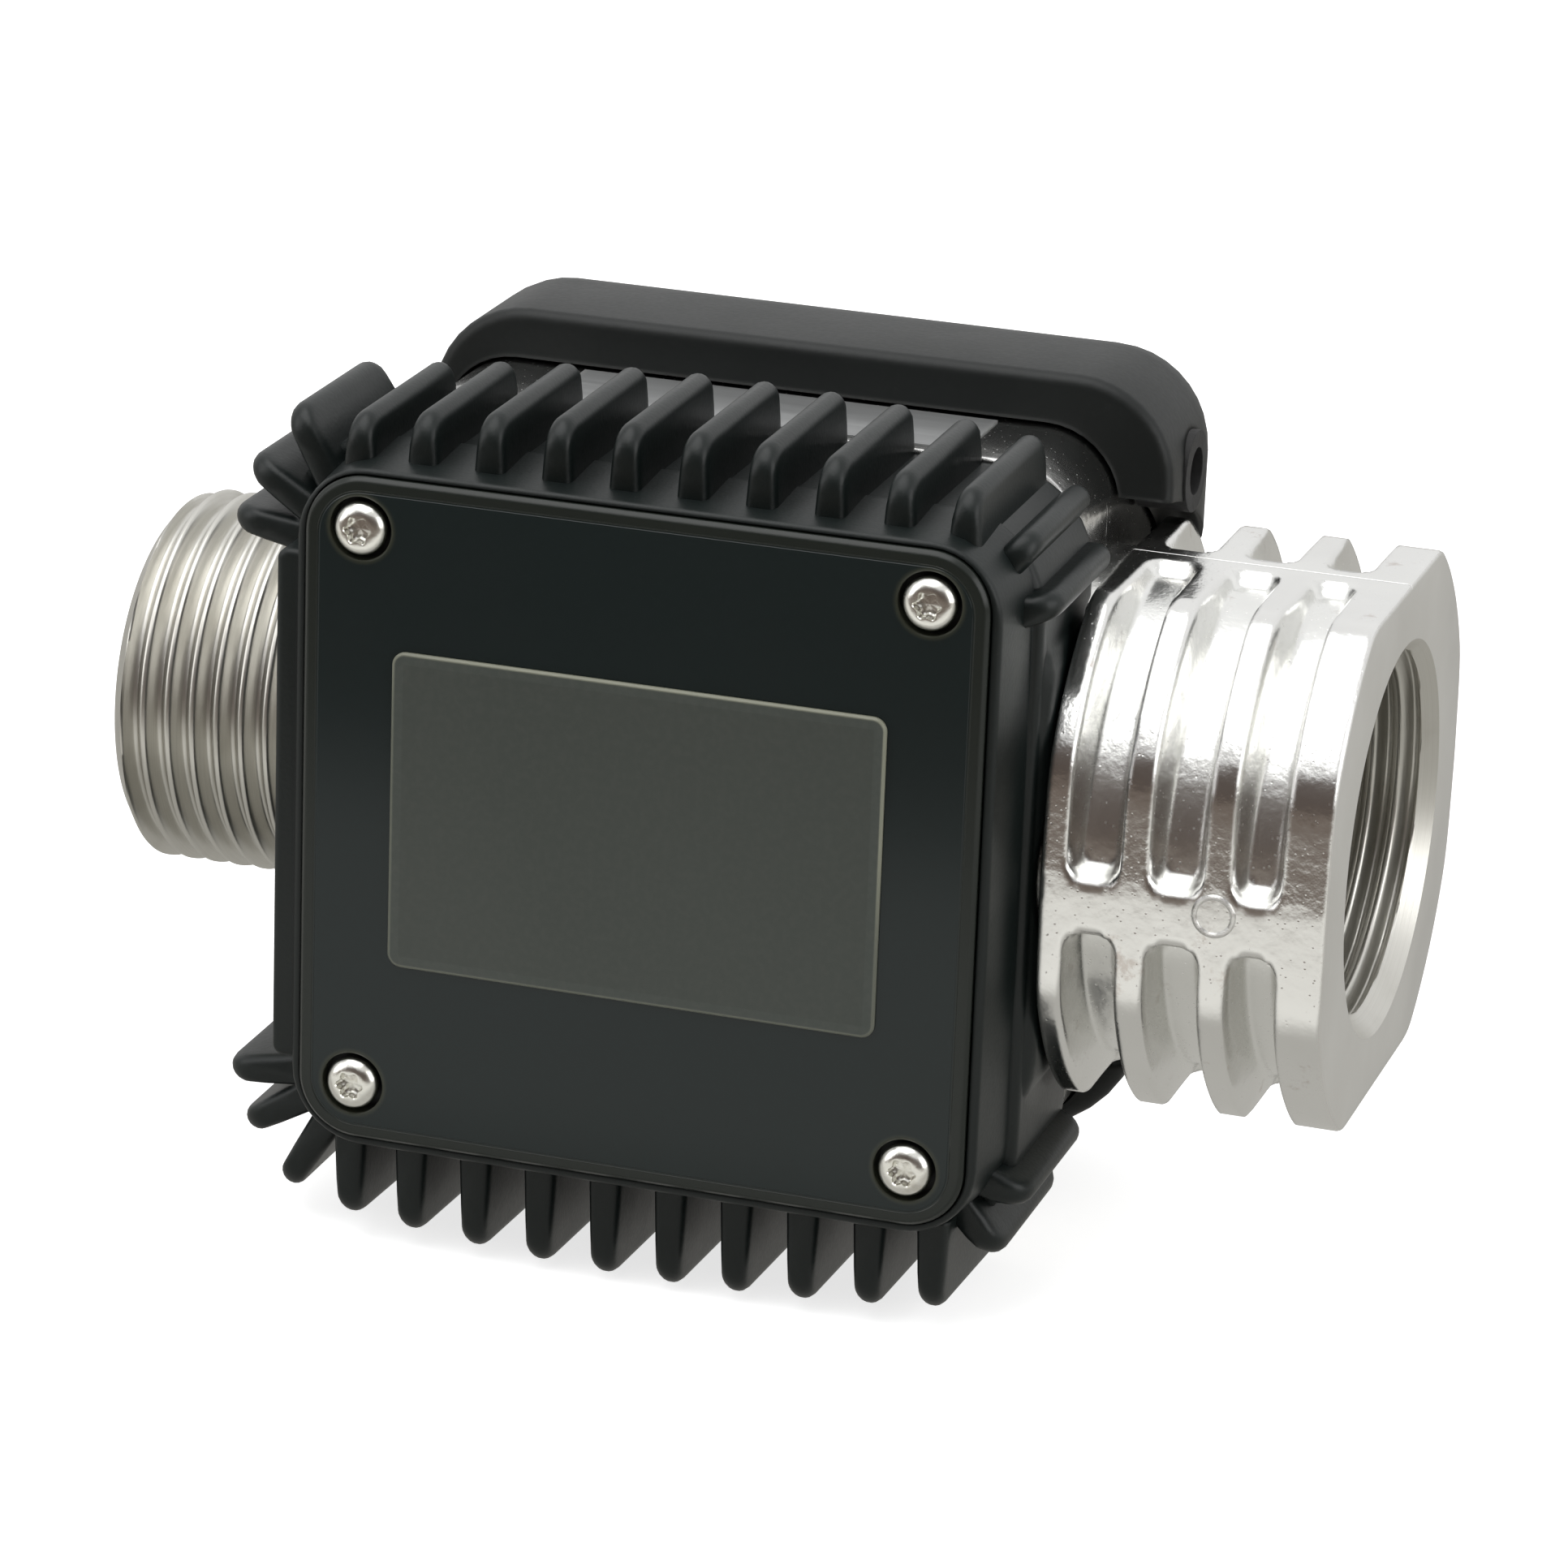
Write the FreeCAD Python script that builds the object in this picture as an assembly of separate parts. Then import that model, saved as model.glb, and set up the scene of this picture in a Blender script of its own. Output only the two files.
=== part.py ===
import FreeCAD, Part
import math
import os

# Inline turbine flow meter with a pulse output, male and female one inch ports.
# Frame: X along the flow axis (male port at -X, female port at +X), Y from front to back
# (the rating plate faces -Y), Z up. Origin on the flow axis, midway between the cover screws.
# All sizes are in millimetres.

# Ports: G 1 parallel pipe thread
THREAD_R = 16.62          # major radius
THREAD_MINOR_R = 15.15    # minor radius
MALE_END_X = -53.3
MALE_THREAD_X = -35.2      # inner end of the male thread
MALE_NECK_R = 15.9        # plain neck between the thread and the block
FEMALE_END_X = 57.4
FEMALE_THREAD_LENGTH = 19.0
MOUTH_R = 17.2

# Flow path
INLET_BORE_R = 12.8
CHAMBER_R = 14.4
CHAMBER_START_X = -22.0
TUBE_R = 19.4             # wall of the measuring tube
PORT_ROOT_R = 22.0        # boss between the block and the ribbed port

# Ribbed female port
RIB_R = 25.6
RIB_FLAT_Z = 22.4
RIB_FLAT_Y = 23.9
POCKET_FLOOR_R = 21.3
POCKET_FILLET = 1.0
RIBS_X = [(32.9, 34.9), (39.9, 41.9), (47.0, 49.0), (53.6, FEMALE_END_X)]
WEB_HALF = 2.1
FRONT_WEB_Z = -1.2

# Body block between the two plastic covers
BLOCK_X = 30.6
BLOCK_Z_LOW, BLOCK_Z_TOP = -31.9, 31.5
BLOCK_Y_FRONT, BLOCK_Y_REAR = -8.2, 17.6
BLOCK_CORNER_R = 6.5

# Front cover
COVER_X_LEFT, COVER_X_RIGHT = -34.9, 32.0
COVER_Z_LOW, COVER_Z_TOP = -32.4, 31.1
COVER_Y_BASE = -25.6      # front of the finned part
COVER_Y_REAR = -8.4
COVER_CORNER_R = 8.0
COVER_WALL = 2.0
FRAME_Y_FRONT = -31.0     # front of the raised frame round the window
WINDOW_SEAT_Y = -29.6
FRONT_WALL_Y = -27.2      # inner face of the front wall

# Window plate
WINDOW_X = 29.7
WINDOW_Z_LOW, WINDOW_Z_TOP = -28.7, 30.2
WINDOW_CORNER_R = 5.2
WINDOW_Y_FRONT = -31.6
LABEL_X = 21.6
LABEL_Z_LOW, LABEL_Z_TOP = -12.4, 15.6

# Cover screws
SCREW_X, SCREW_Z_LOW, SCREW_Z_TOP = 24.7, -23.7, 25.8
SCREW_HEAD_R, SCREW_HEAD_H = 2.3, 1.6
SCREW_SHANK_R = 1.5
SCREW_HOLE_R = 2.75
SCREW_BOSS_R = 3.6
SCREW_END_Y = 1.0

# Fins
FIN_THICK = 2.1
FIN_PITCH = 5.92
FIN_FRONT_Y, FIN_REAR_Y = -25.5, -8.4
FIN_CROWN = 1.78          # drop of the tips at 26 mm from the middle
TOP_FIN_Z, BOTTOM_FIN_Z = 36.2, -39.1
BOTTOM_FIN_FALL = 1.3     # the bottom tips fall away towards the rear

# Rear cover
REAR_X = 35.6
REAR_Z_LOW, REAR_Z_TOP = -36.3, 36.1
REAR_Y_FRONT, REAR_Y_BACK = 3.6, 22.6
REAR_CORNER_R = 9.5
REAR_CAVITY_Y = 19.8
REAR_FIT = 0.3

# Turbine cartridge
SLEEVE_R, SLEEVE_INNER_R = 14.3, 12.6
SLEEVE_X = (-21.8, 22.0)
HUB_R = 5.4
HUB_HALF = 6.5
BLADE_R = 12.0
BLADE_COUNT = 6
BLADE_TWIST = 46.0
BLADE_THICK = 1.2
SHAFT_R = 1.2
SHAFT_HALF = 11.6
BUSH_R = 2.2
BUSH_BORE_R = 1.25
BUSH_X = (7.6, 11.8)

V = FreeCAD.Vector
X_AXIS, Y_AXIS, Z_AXIS = V(1, 0, 0), V(0, 1, 0), V(0, 0, 1)


def tube_x(radius, x0, x1, y=0.0, z=0.0):
    """Cylinder along X."""
    return Part.makeCylinder(radius, x1 - x0, V(x0, y, z), X_AXIS)


def tube_y(radius, y0, y1, x=0.0, z=0.0):
    """Cylinder along Y."""
    return Part.makeCylinder(radius, y1 - y0, V(x, y0, z), Y_AXIS)


def box(x0, x1, y0, y1, z0, z1):
    """Box between two corners."""
    return Part.makeBox(x1 - x0, y1 - y0, z1 - z0, V(x0, y0, z0))


def rounded_wire(x0, x1, z0, z1, radius, y):
    """Rectangle with round corners in the plane at y."""
    corners = [(x1 - radius, z1 - radius, 0), (x0 + radius, z1 - radius, 90),
               (x0 + radius, z0 + radius, 180), (x1 - radius, z0 + radius, 270)]
    edges = []
    last = None
    for cx, cz, start in corners:
        points = []
        for angle in (start, start + 45, start + 90):
            a = math.radians(angle)
            points.append(V(cx + radius * math.cos(a), y, cz + radius * math.sin(a)))
        if last is not None:
            edges.append(Part.LineSegment(last, points[0]).toShape())
        edges.append(Part.Arc(*points).toShape())
        last = points[2]
    first = edges[0].firstVertex().Point
    edges.append(Part.LineSegment(last, first).toShape())
    return Part.Wire(edges)


def rounded_block(x0, x1, z0, z1, radius, y0, y1):
    """Block along Y with round corners."""
    face = Part.Face(rounded_wire(x0, x1, z0, z1, radius, y0))
    return face.extrude(V(0, y1 - y0, 0))


def drafted_block(x0, x1, z0, z1, radius, y0, y1, grow):
    """Block along Y that grows by a draft on each side from y0 to y1."""
    front = rounded_wire(x0, x1, z0, z1, radius, y0)
    back = rounded_wire(x0 - grow, x1 + grow, z0 - grow, z1 + grow, radius + grow, y1)
    return Part.makeLoft([front, back], True, True)


def revolve_x(points):
    """Solid of revolution about X from (x, radius) points, closed along the axis."""
    pts = [V(x, 0, r) for x, r in points]
    wire = Part.makePolygon(pts + [pts[0]])
    return Part.Face(wire).revolve(V(0, 0, 0), X_AXIS, 360)


def edges_at_y(shape, y, tolerance=0.01):
    """Edges that lie in the plane at y."""
    found = []
    for edge in shape.Edges:
        bounds = edge.BoundBox
        if abs(bounds.YMin - y) < tolerance and abs(bounds.YMax - y) < tolerance:
            found.append(edge)
    return found


def screw_places():
    """Centres of the four cover screws."""
    return [(x, z) for z in (SCREW_Z_LOW, SCREW_Z_TOP) for x in (-SCREW_X, SCREW_X)]


def rib_profile():
    """Half section of the port: core with four ribs, round at the foot and slightly drafted."""
    floor, fillet, draft = POCKET_FLOOR_R, POCKET_FILLET, 0.15
    start = BLOCK_X
    edges = []
    here = V(start, 0, PORT_ROOT_R)
    edges.append(Part.LineSegment(V(start, 0, 0), here).toShape())
    for i, (x0, x1) in enumerate(RIBS_X):
        foot = V(x0 - draft, 0, PORT_ROOT_R if i == 0 else floor + fillet)
        if i > 0:
            bend = V(foot.x - fillet, 0, floor)
            middle = V(foot.x - 0.293 * fillet, 0, floor + 0.293 * fillet)
            edges.append(Part.LineSegment(here, bend).toShape())
            edges.append(Part.Arc(bend, middle, foot).toShape())
        else:
            edges.append(Part.LineSegment(here, foot).toShape())
        edges.append(Part.LineSegment(foot, V(x0, 0, RIB_R)).toShape())
        edges.append(Part.LineSegment(V(x0, 0, RIB_R), V(x1, 0, RIB_R)).toShape())
        if i < len(RIBS_X) - 1:
            low = V(x1 + draft, 0, floor + fillet)
            middle = V(low.x + 0.293 * fillet, 0, floor + 0.293 * fillet)
            here = V(low.x + fillet, 0, floor)
            edges.append(Part.LineSegment(V(x1, 0, RIB_R), low).toShape())
            edges.append(Part.Arc(low, middle, here).toShape())
    edges.append(Part.LineSegment(V(FEMALE_END_X, 0, RIB_R), V(FEMALE_END_X, 0, 0)).toShape())
    edges.append(Part.LineSegment(V(FEMALE_END_X, 0, 0), V(start, 0, 0)).toShape())
    return Part.Face(Part.Wire(edges))


def port_limit():
    """Flats at the top, bottom, front and rear of the ribs, with round corners."""
    outline = rounded_wire(-RIB_FLAT_Y, RIB_FLAT_Y + 0.6, -RIB_FLAT_Z, RIB_FLAT_Z, 0.8, 0)
    face = Part.Face(outline)
    face.rotate(V(0, 0, 0), Z_AXIS, 90)
    return face.extrude(V(100, 0, 0))


def ribbed_port():
    """Die-cast female port: ribbed core clipped by flats, with four webs between the ribs."""
    ribbed = rib_profile().revolve(V(0, 0, 0), X_AXIS, 360)
    first, last = RIBS_X[0][0] + 0.5, RIBS_X[-1][1] - 0.5
    webs = [box(first, last, -RIB_R, 0, FRONT_WEB_Z - WEB_HALF, FRONT_WEB_Z + WEB_HALF),
            box(first, last, 0, RIB_R, FRONT_WEB_Z - WEB_HALF, FRONT_WEB_Z + WEB_HALF),
            box(first, last, -0.9, 2.6, 0, RIB_R),
            box(first, last, -2.9, 3.9, -RIB_R, 0)]
    drum = tube_x(RIB_R - 0.05, first, last)
    return ribbed.multiFuse([drum.common(web) for web in webs]).common(port_limit())


def meter_body():
    """Die-cast body: block, measuring tube, male end and ribbed female port, bored through."""
    block = rounded_block(-BLOCK_X, BLOCK_X, BLOCK_Z_LOW, BLOCK_Z_TOP, BLOCK_CORNER_R,
                          BLOCK_Y_FRONT, BLOCK_Y_REAR)
    block = block.makeFillet(1.2, edges_at_y(block, BLOCK_Y_REAR))
    solid = block.fuse(tube_x(TUBE_R, -BLOCK_X, BLOCK_X))
    male = tube_x(THREAD_R, MALE_END_X, MALE_THREAD_X)
    male = male.makeChamfer(1.3, [e for e in male.Edges if abs(e.BoundBox.XMax - MALE_END_X) < 0.01])
    neck = tube_x(MALE_NECK_R, MALE_THREAD_X, -BLOCK_X + 1)
    solid = solid.multiFuse([male, neck, ribbed_port()])
    thread_stop = FEMALE_END_X - FEMALE_THREAD_LENGTH
    bore = revolve_x([(MALE_END_X - 1, 0), (MALE_END_X - 1, INLET_BORE_R + 1.6),
                      (MALE_END_X + 0.6, INLET_BORE_R), (CHAMBER_START_X, INLET_BORE_R),
                      (CHAMBER_START_X, CHAMBER_R), (thread_stop - 1.5, CHAMBER_R),
                      (thread_stop, THREAD_MINOR_R), (FEMALE_END_X - 2.05, THREAD_MINOR_R),
                      (FEMALE_END_X, MOUTH_R), (FEMALE_END_X + 1, MOUTH_R), (FEMALE_END_X + 1, 0)])
    solid = solid.cut(bore)
    solid = solid.cut(tube_x(CHAMBER_R + 0.9, RING_X, RING_X + 1.3))
    for x, z in screw_places():
        solid = solid.cut(tube_y(SCREW_SHANK_R, BLOCK_Y_FRONT - 1, SCREW_END_Y, x, z))
    for x, z in rear_screw_places():
        solid = solid.cut(tube_y(SCREW_SHANK_R, REAR_SCREW_TIP_Y, BLOCK_Y_REAR + 1, x, z))
    solid = solid.cut(tube_y(2.5, BLOCK_Y_FRONT - 1, BLOCK_Y_REAR + 1, WIRE_X, WIRE_Z))
    return solid


RING_X = 22.2             # retaining ring groove
REAR_SCREW_TIP_Y = 10.0
WIRE_X, WIRE_Z = 14.0, 26.5   # wire passage from the board to the rear cover


def rear_screw_places():
    """Centres of the four screws of the rear cover."""
    return [(x, z) for z in (-24.5, 24.1) for x in (-23.5, 23.5)]


def fin(height_front, height_rear, sink=3.0):
    """One fin standing on z = 0 along Y: tapered section with a round tip, round end corners."""
    half_base, half_tip = FIN_THICK / 2 + 0.25, FIN_THICK / 2 - 0.15
    tall = max(height_front, height_rear)
    tip_centre = tall - half_tip
    section = Part.Wire([
        Part.LineSegment(V(-half_base, 0, -sink), V(half_base, 0, -sink)).toShape(),
        Part.LineSegment(V(half_base, 0, -sink), V(half_tip, 0, tip_centre)).toShape(),
        Part.Arc(V(half_tip, 0, tip_centre), V(0, 0, tall), V(-half_tip, 0, tip_centre)).toShape(),
        Part.LineSegment(V(-half_tip, 0, tip_centre), V(-half_base, 0, -sink)).toShape()])
    bar = Part.Face(section).extrude(V(0, FIN_REAR_Y - FIN_FRONT_Y, 0))
    bar.translate(V(0, FIN_FRONT_Y, 0))
    if height_front == height_rear:
        profile_front = profile_rear = height_front
    else:
        profile_front, profile_rear = height_front, height_rear
    radius = 1.6
    lean = math.atan2(profile_rear - profile_front, FIN_REAR_Y - FIN_FRONT_Y)
    corner = radius * (1 - math.sin(lean))
    a = V(0, FIN_FRONT_Y, -sink)
    b = V(0, FIN_FRONT_Y, profile_front - corner)
    mid = V(0, FIN_FRONT_Y + 0.3 * radius, profile_front - 0.27 * radius)
    c = V(0, FIN_FRONT_Y + radius, profile_front + radius * math.tan(lean))
    d = V(0, FIN_REAR_Y - radius, profile_rear - radius * math.tan(lean))
    end = V(0, FIN_REAR_Y - 0.3 * radius, profile_rear - 0.31 * radius)
    e = V(0, FIN_REAR_Y, profile_rear - radius)
    f = V(0, FIN_REAR_Y, -sink)
    outline = Part.Wire([Part.LineSegment(a, b).toShape(), Part.Arc(b, mid, c).toShape(),
                         Part.LineSegment(c, d).toShape(), Part.Arc(d, end, e).toShape(),
                         Part.LineSegment(e, f).toShape(), Part.LineSegment(f, a).toShape()])
    side = Part.Face(outline).extrude(V(2 * half_base + 1, 0, 0))
    side.translate(V(-half_base - 0.5, 0, 0))
    if height_front == height_rear:
        return bar.common(side)
    return bar.common(side)


def placed_fin(tip_x, tip_z, root_x, root_z, grow=0.0):
    """Fin from a root point on the cover to a tip point, seen from the front."""
    length = math.hypot(tip_x - root_x, tip_z - root_z)
    shape = fin(length, length + grow)
    angle = math.degrees(math.atan2(tip_x - root_x, tip_z - root_z))
    shape.rotate(V(0, 0, 0), Y_AXIS, angle)
    shape.translate(V(root_x, 0, root_z))
    return shape


def cover_fins():
    """All fins of the front cover: two straight rows and the fans at the corners."""
    fins = []
    for i in range(10):
        x = (i - 4.5) * FIN_PITCH
        if i in (0, 9):
            x -= math.copysign(0.3, x)
        drop = FIN_CROWN * (x / 26.0) ** 2
        fins.append(placed_fin(x, TOP_FIN_Z - drop, x, COVER_Z_TOP - 2.5))
        fins.append(placed_fin(x, BOTTOM_FIN_Z + drop, x, COVER_Z_LOW + 2.5, BOTTOM_FIN_FALL))
    middle = (COVER_Z_TOP + COVER_Z_LOW) / 2
    left_fan = [(-33.0, 35.2, -28.6, 29.6), (-37.4, 30.2, -31.4, 27.0), (-38.9, 24.9, -32.5, 23.2)]
    right_fan = [(31.2, 32.6, 27.2, 29.2), (35.0, 26.8, 29.4, 24.6)]
    for tip_x, tip_z, root_x, root_z in left_fan + right_fan:
        for side in (1, -1):
            fins.append(placed_fin(tip_x, middle + side * tip_z, root_x, middle + side * root_z))
    return fins


def finned_cover():
    """Moulded front cover: finned base, frame round the window, hollow and open at the rear."""
    base = rounded_block(COVER_X_LEFT, COVER_X_RIGHT, COVER_Z_LOW, COVER_Z_TOP, COVER_CORNER_R,
                         COVER_Y_BASE, COVER_Y_REAR)
    base = base.makeFillet(0.8, edges_at_y(base, COVER_Y_BASE))
    frame = drafted_block(-WINDOW_X - 0.9, WINDOW_X + 0.9, WINDOW_Z_LOW - 0.9, WINDOW_Z_TOP + 0.5,
                          WINDOW_CORNER_R + 1.2, FRAME_Y_FRONT, COVER_Y_BASE + 1.0, 0.7)
    frame = frame.makeFillet(0.45, edges_at_y(frame, FRAME_Y_FRONT))
    left_rail = rounded_block(COVER_X_LEFT + 1.4, -WINDOW_X, -23.0, 22.6, 1.0,
                              FRAME_Y_FRONT + 1.0, COVER_Y_BASE + 1.0)
    collar = tube_x(COLLAR_R, COVER_X_RIGHT - 1.5, COVER_X_RIGHT + 0.6)
    collar = collar.common(box(0, 60, -40, COVER_Y_REAR, -40, 40))
    solid = base.multiFuse([frame, left_rail, collar] + cover_fins())
    wall = COVER_WALL
    cavity = rounded_block(COVER_X_LEFT + wall + 1.2, COVER_X_RIGHT - wall, COVER_Z_LOW + wall,
                           COVER_Z_TOP - wall, COVER_CORNER_R - wall, -24.4, COVER_Y_REAR + 1)
    pocket = rounded_block(-WINDOW_X + 1.2, WINDOW_X - 1.2, WINDOW_Z_LOW + 1.2, WINDOW_Z_TOP - 1.6,
                           WINDOW_CORNER_R, FRONT_WALL_Y, -24.0)
    hollow = cavity.fuse(pocket)
    for x, z in screw_places():
        hollow = hollow.cut(tube_y(SCREW_BOSS_R, FRONT_WALL_Y - 1, COVER_Y_REAR + 2, x, z))
    for x, z in board_screw_places():
        hollow = hollow.cut(tube_y(2.2, FRONT_WALL_Y - 1, BOARD_Y[0], x, z))
    solid = solid.cut(hollow)
    seat = rounded_block(-WINDOW_X - 0.15, WINDOW_X + 0.15, WINDOW_Z_LOW - 0.15, WINDOW_Z_TOP + 0.15,
                         WINDOW_CORNER_R, FRAME_Y_FRONT - 2, WINDOW_SEAT_Y)
    recess = rounded_block(-LABEL_X - 0.2, LABEL_X + 0.2, LABEL_Z_LOW - 0.2, LABEL_Z_TOP + 0.2, 1.4,
                           WINDOW_SEAT_Y - 1, LABEL_SEAT_Y)
    groove = rounded_block(-GROOVE_X, GROOVE_X, GROOVE_Z_LOW, GROOVE_Z_TOP, 3.0,
                           WINDOW_SEAT_Y - 1, WINDOW_SEAT_Y + 0.8)
    groove = groove.cut(rounded_block(-GROOVE_X + 1.4, GROOVE_X - 1.4, GROOVE_Z_LOW + 1.4,
                                      GROOVE_Z_TOP - 1.4, 1.6, WINDOW_SEAT_Y - 2, WINDOW_SEAT_Y + 2))
    for tool in (seat, recess, groove):
        solid = solid.cut(tool)
    for x, z in screw_places():
        solid = solid.cut(tube_y(SCREW_SHANK_R + 0.2, -40, 0, x, z))
    solid = solid.cut(tube_x(PORT_ROOT_R + 0.4, COVER_X_RIGHT - 6, COVER_X_RIGHT + 4))
    solid = solid.cut(tube_x(TUBE_R + 0.4, COVER_X_LEFT + wall, COVER_X_RIGHT - 1))
    solid = solid.cut(tube_x(THREAD_R + 0.4, COVER_X_LEFT - 10, 0))
    return solid


COLLAR_R = 25.4
LABEL_SEAT_Y = -28.9
GROOVE_X = 23.4
GROOVE_Z_LOW, GROOVE_Z_TOP = -14.2, 17.4
BOARD_Y = (-25.4, -23.8)


def board_screw_places():
    """Centres of the two screws that hold the circuit board."""
    return [(-17.0, 20.5), (17.0, -18.5)]


def front_window():
    """Clear window plate with four screw holes."""
    plate = rounded_block(-WINDOW_X, WINDOW_X, WINDOW_Z_LOW, WINDOW_Z_TOP, WINDOW_CORNER_R,
                          WINDOW_Y_FRONT, WINDOW_SEAT_Y)
    plate = plate.makeChamfer(0.35, edges_at_y(plate, WINDOW_Y_FRONT))
    for x, z in screw_places():
        plate = plate.cut(tube_y(SCREW_HOLE_R, WINDOW_Y_FRONT - 1, WINDOW_SEAT_Y + 1, x, z))
    return plate


def rating_label():
    """Bare rating label in the recess under the window."""
    return rounded_block(-LABEL_X, LABEL_X, LABEL_Z_LOW, LABEL_Z_TOP, 1.2,
                         LABEL_SEAT_Y - 0.25, LABEL_SEAT_Y)


def window_gasket():
    """Flat rubber cord in the groove round the label recess."""
    outer = rounded_block(-GROOVE_X + 0.1, GROOVE_X - 0.1, GROOVE_Z_LOW + 0.1, GROOVE_Z_TOP - 0.1, 2.9,
                          WINDOW_SEAT_Y, WINDOW_SEAT_Y + 0.75)
    inner = rounded_block(-GROOVE_X + 1.3, GROOVE_X - 1.3, GROOVE_Z_LOW + 1.3, GROOVE_Z_TOP - 1.3, 1.7,
                          WINDOW_SEAT_Y - 1, WINDOW_SEAT_Y + 2)
    return outer.cut(inner)


def pan_screw(y_seat, y_tip, direction, x, z, head_r=SCREW_HEAD_R, head_h=SCREW_HEAD_H):
    """Pan head screw along Y; direction -1 has its head towards -Y."""
    shank_r = SCREW_SHANK_R
    profile = [V(0, 0, 0), V(head_r, 0, 0), V(head_r, head_h * 0.45, 0)]
    top = V(head_r * 0.55, head_h * 0.94, 0)
    centre = V(0, head_h, 0)
    wire = Part.Wire([
        Part.LineSegment(profile[0], profile[1]).toShape(),
        Part.LineSegment(profile[1], profile[2]).toShape(),
        Part.Arc(profile[2], V(head_r * 0.87, head_h * 0.76, 0), top).toShape(),
        Part.LineSegment(top, centre).toShape(),
        Part.LineSegment(centre, profile[0]).toShape()])
    head = Part.Face(wire).revolve(V(0, 0, 0), Y_AXIS, 360)
    length = abs(y_tip - y_seat)
    shank = Part.makeCylinder(shank_r, length, V(0, -length, 0), Y_AXIS)
    screw = head.fuse(shank)
    if direction < 0:
        screw.rotate(V(0, 0, 0), Z_AXIS, 180)
    screw.translate(V(x, y_seat, z))
    return screw


def cover_screws():
    """Four long pan head screws through the window and cover into the body."""
    return Part.makeCompound([pan_screw(WINDOW_SEAT_Y, SCREW_END_Y - 1, -1, x, z)
                              for x, z in screw_places()])


def rear_screws():
    """Four screws through the rear cover into the body."""
    return Part.makeCompound([pan_screw(REAR_CAVITY_Y + 0.8, REAR_SCREW_TIP_Y + 1, 1, x, z, 2.4, 1.5)
                              for x, z in rear_screw_places()])


def cover_gasket():
    """Flat gasket between the front cover and the body block."""
    outer = rounded_block(-BLOCK_X + 0.6, COVER_X_RIGHT - 2.0, BLOCK_Z_LOW + 0.6, COVER_Z_TOP - 0.6,
                          BLOCK_CORNER_R, COVER_Y_REAR, BLOCK_Y_FRONT)
    inner = rounded_block(-BLOCK_X + 3.0, COVER_X_RIGHT - 4.4, BLOCK_Z_LOW + 3.0, COVER_Z_TOP - 3.0,
                          BLOCK_CORNER_R - 2, COVER_Y_REAR - 1, BLOCK_Y_FRONT + 1)
    ring = outer.cut(inner)
    for x, z in screw_places():
        ring = ring.fuse(tube_y(SCREW_BOSS_R, COVER_Y_REAR, BLOCK_Y_FRONT, x, z))
        ring = ring.cut(tube_y(SCREW_SHANK_R + 0.1, COVER_Y_REAR - 1, BLOCK_Y_FRONT + 1, x, z))
    return ring.cut(tube_x(PORT_ROOT_R + 0.2, -60, 60))


def circuit_board():
    """Board of the pulse output."""
    board = rounded_block(-20.5, 20.5, -21.5, 23.5, 1.0, BOARD_Y[0], BOARD_Y[1])
    for x, z in board_screw_places():
        board = board.cut(tube_y(1.2, BOARD_Y[0] - 1, BOARD_Y[1] + 1, x, z))
    return board


def board_screws():
    """Two small screws that hold the board on its posts."""
    screws = []
    for x, z in board_screw_places():
        shank = tube_y(1.0, BOARD_Y[0] - 0.0, BOARD_Y[1], x, z)
        head = tube_y(1.9, BOARD_Y[1], BOARD_Y[1] + 1.2, x, z)
        screws.append(shank.fuse(head.makeChamfer(0.35, edges_at_y(head, BOARD_Y[1] + 1.2))))
    return Part.makeCompound(screws)


def reed_switch():
    """Glass reed switch lying across the tube, with its two leads bent to the board."""
    y = BOARD_Y[1] + 1.6
    glass = tube_x(1.2, -7.0, 7.0, y, 0)
    glass = glass.makeFillet(0.8, glass.Edges)
    leads = []
    for side in (-1, 1):
        x0, x1 = sorted((side * 6.5, side * 9.5))
        leads.append(tube_x(0.3, x0, x1, y, 0))
        leads.append(tube_y(0.3, BOARD_Y[1], y, side * 9.2, 0))
    return glass.multiFuse(leads)


def terminal_block():
    """Two-way terminal block on the board."""
    block = box(6.0, 16.5, BOARD_Y[1], BOARD_Y[1] + 7.0, 19.0 - 5, 19.0 + 2.5)
    for x in (8.6, 13.8):
        block = block.cut(tube_y(1.7, BOARD_Y[1] + 4.5, BOARD_Y[1] + 8, x, 18.2))
        block = block.cut(Part.makeCylinder(1.3, 4, V(x, BOARD_Y[1] + 3, 22.0), V(0, 0, -1)))
    return block


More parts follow.
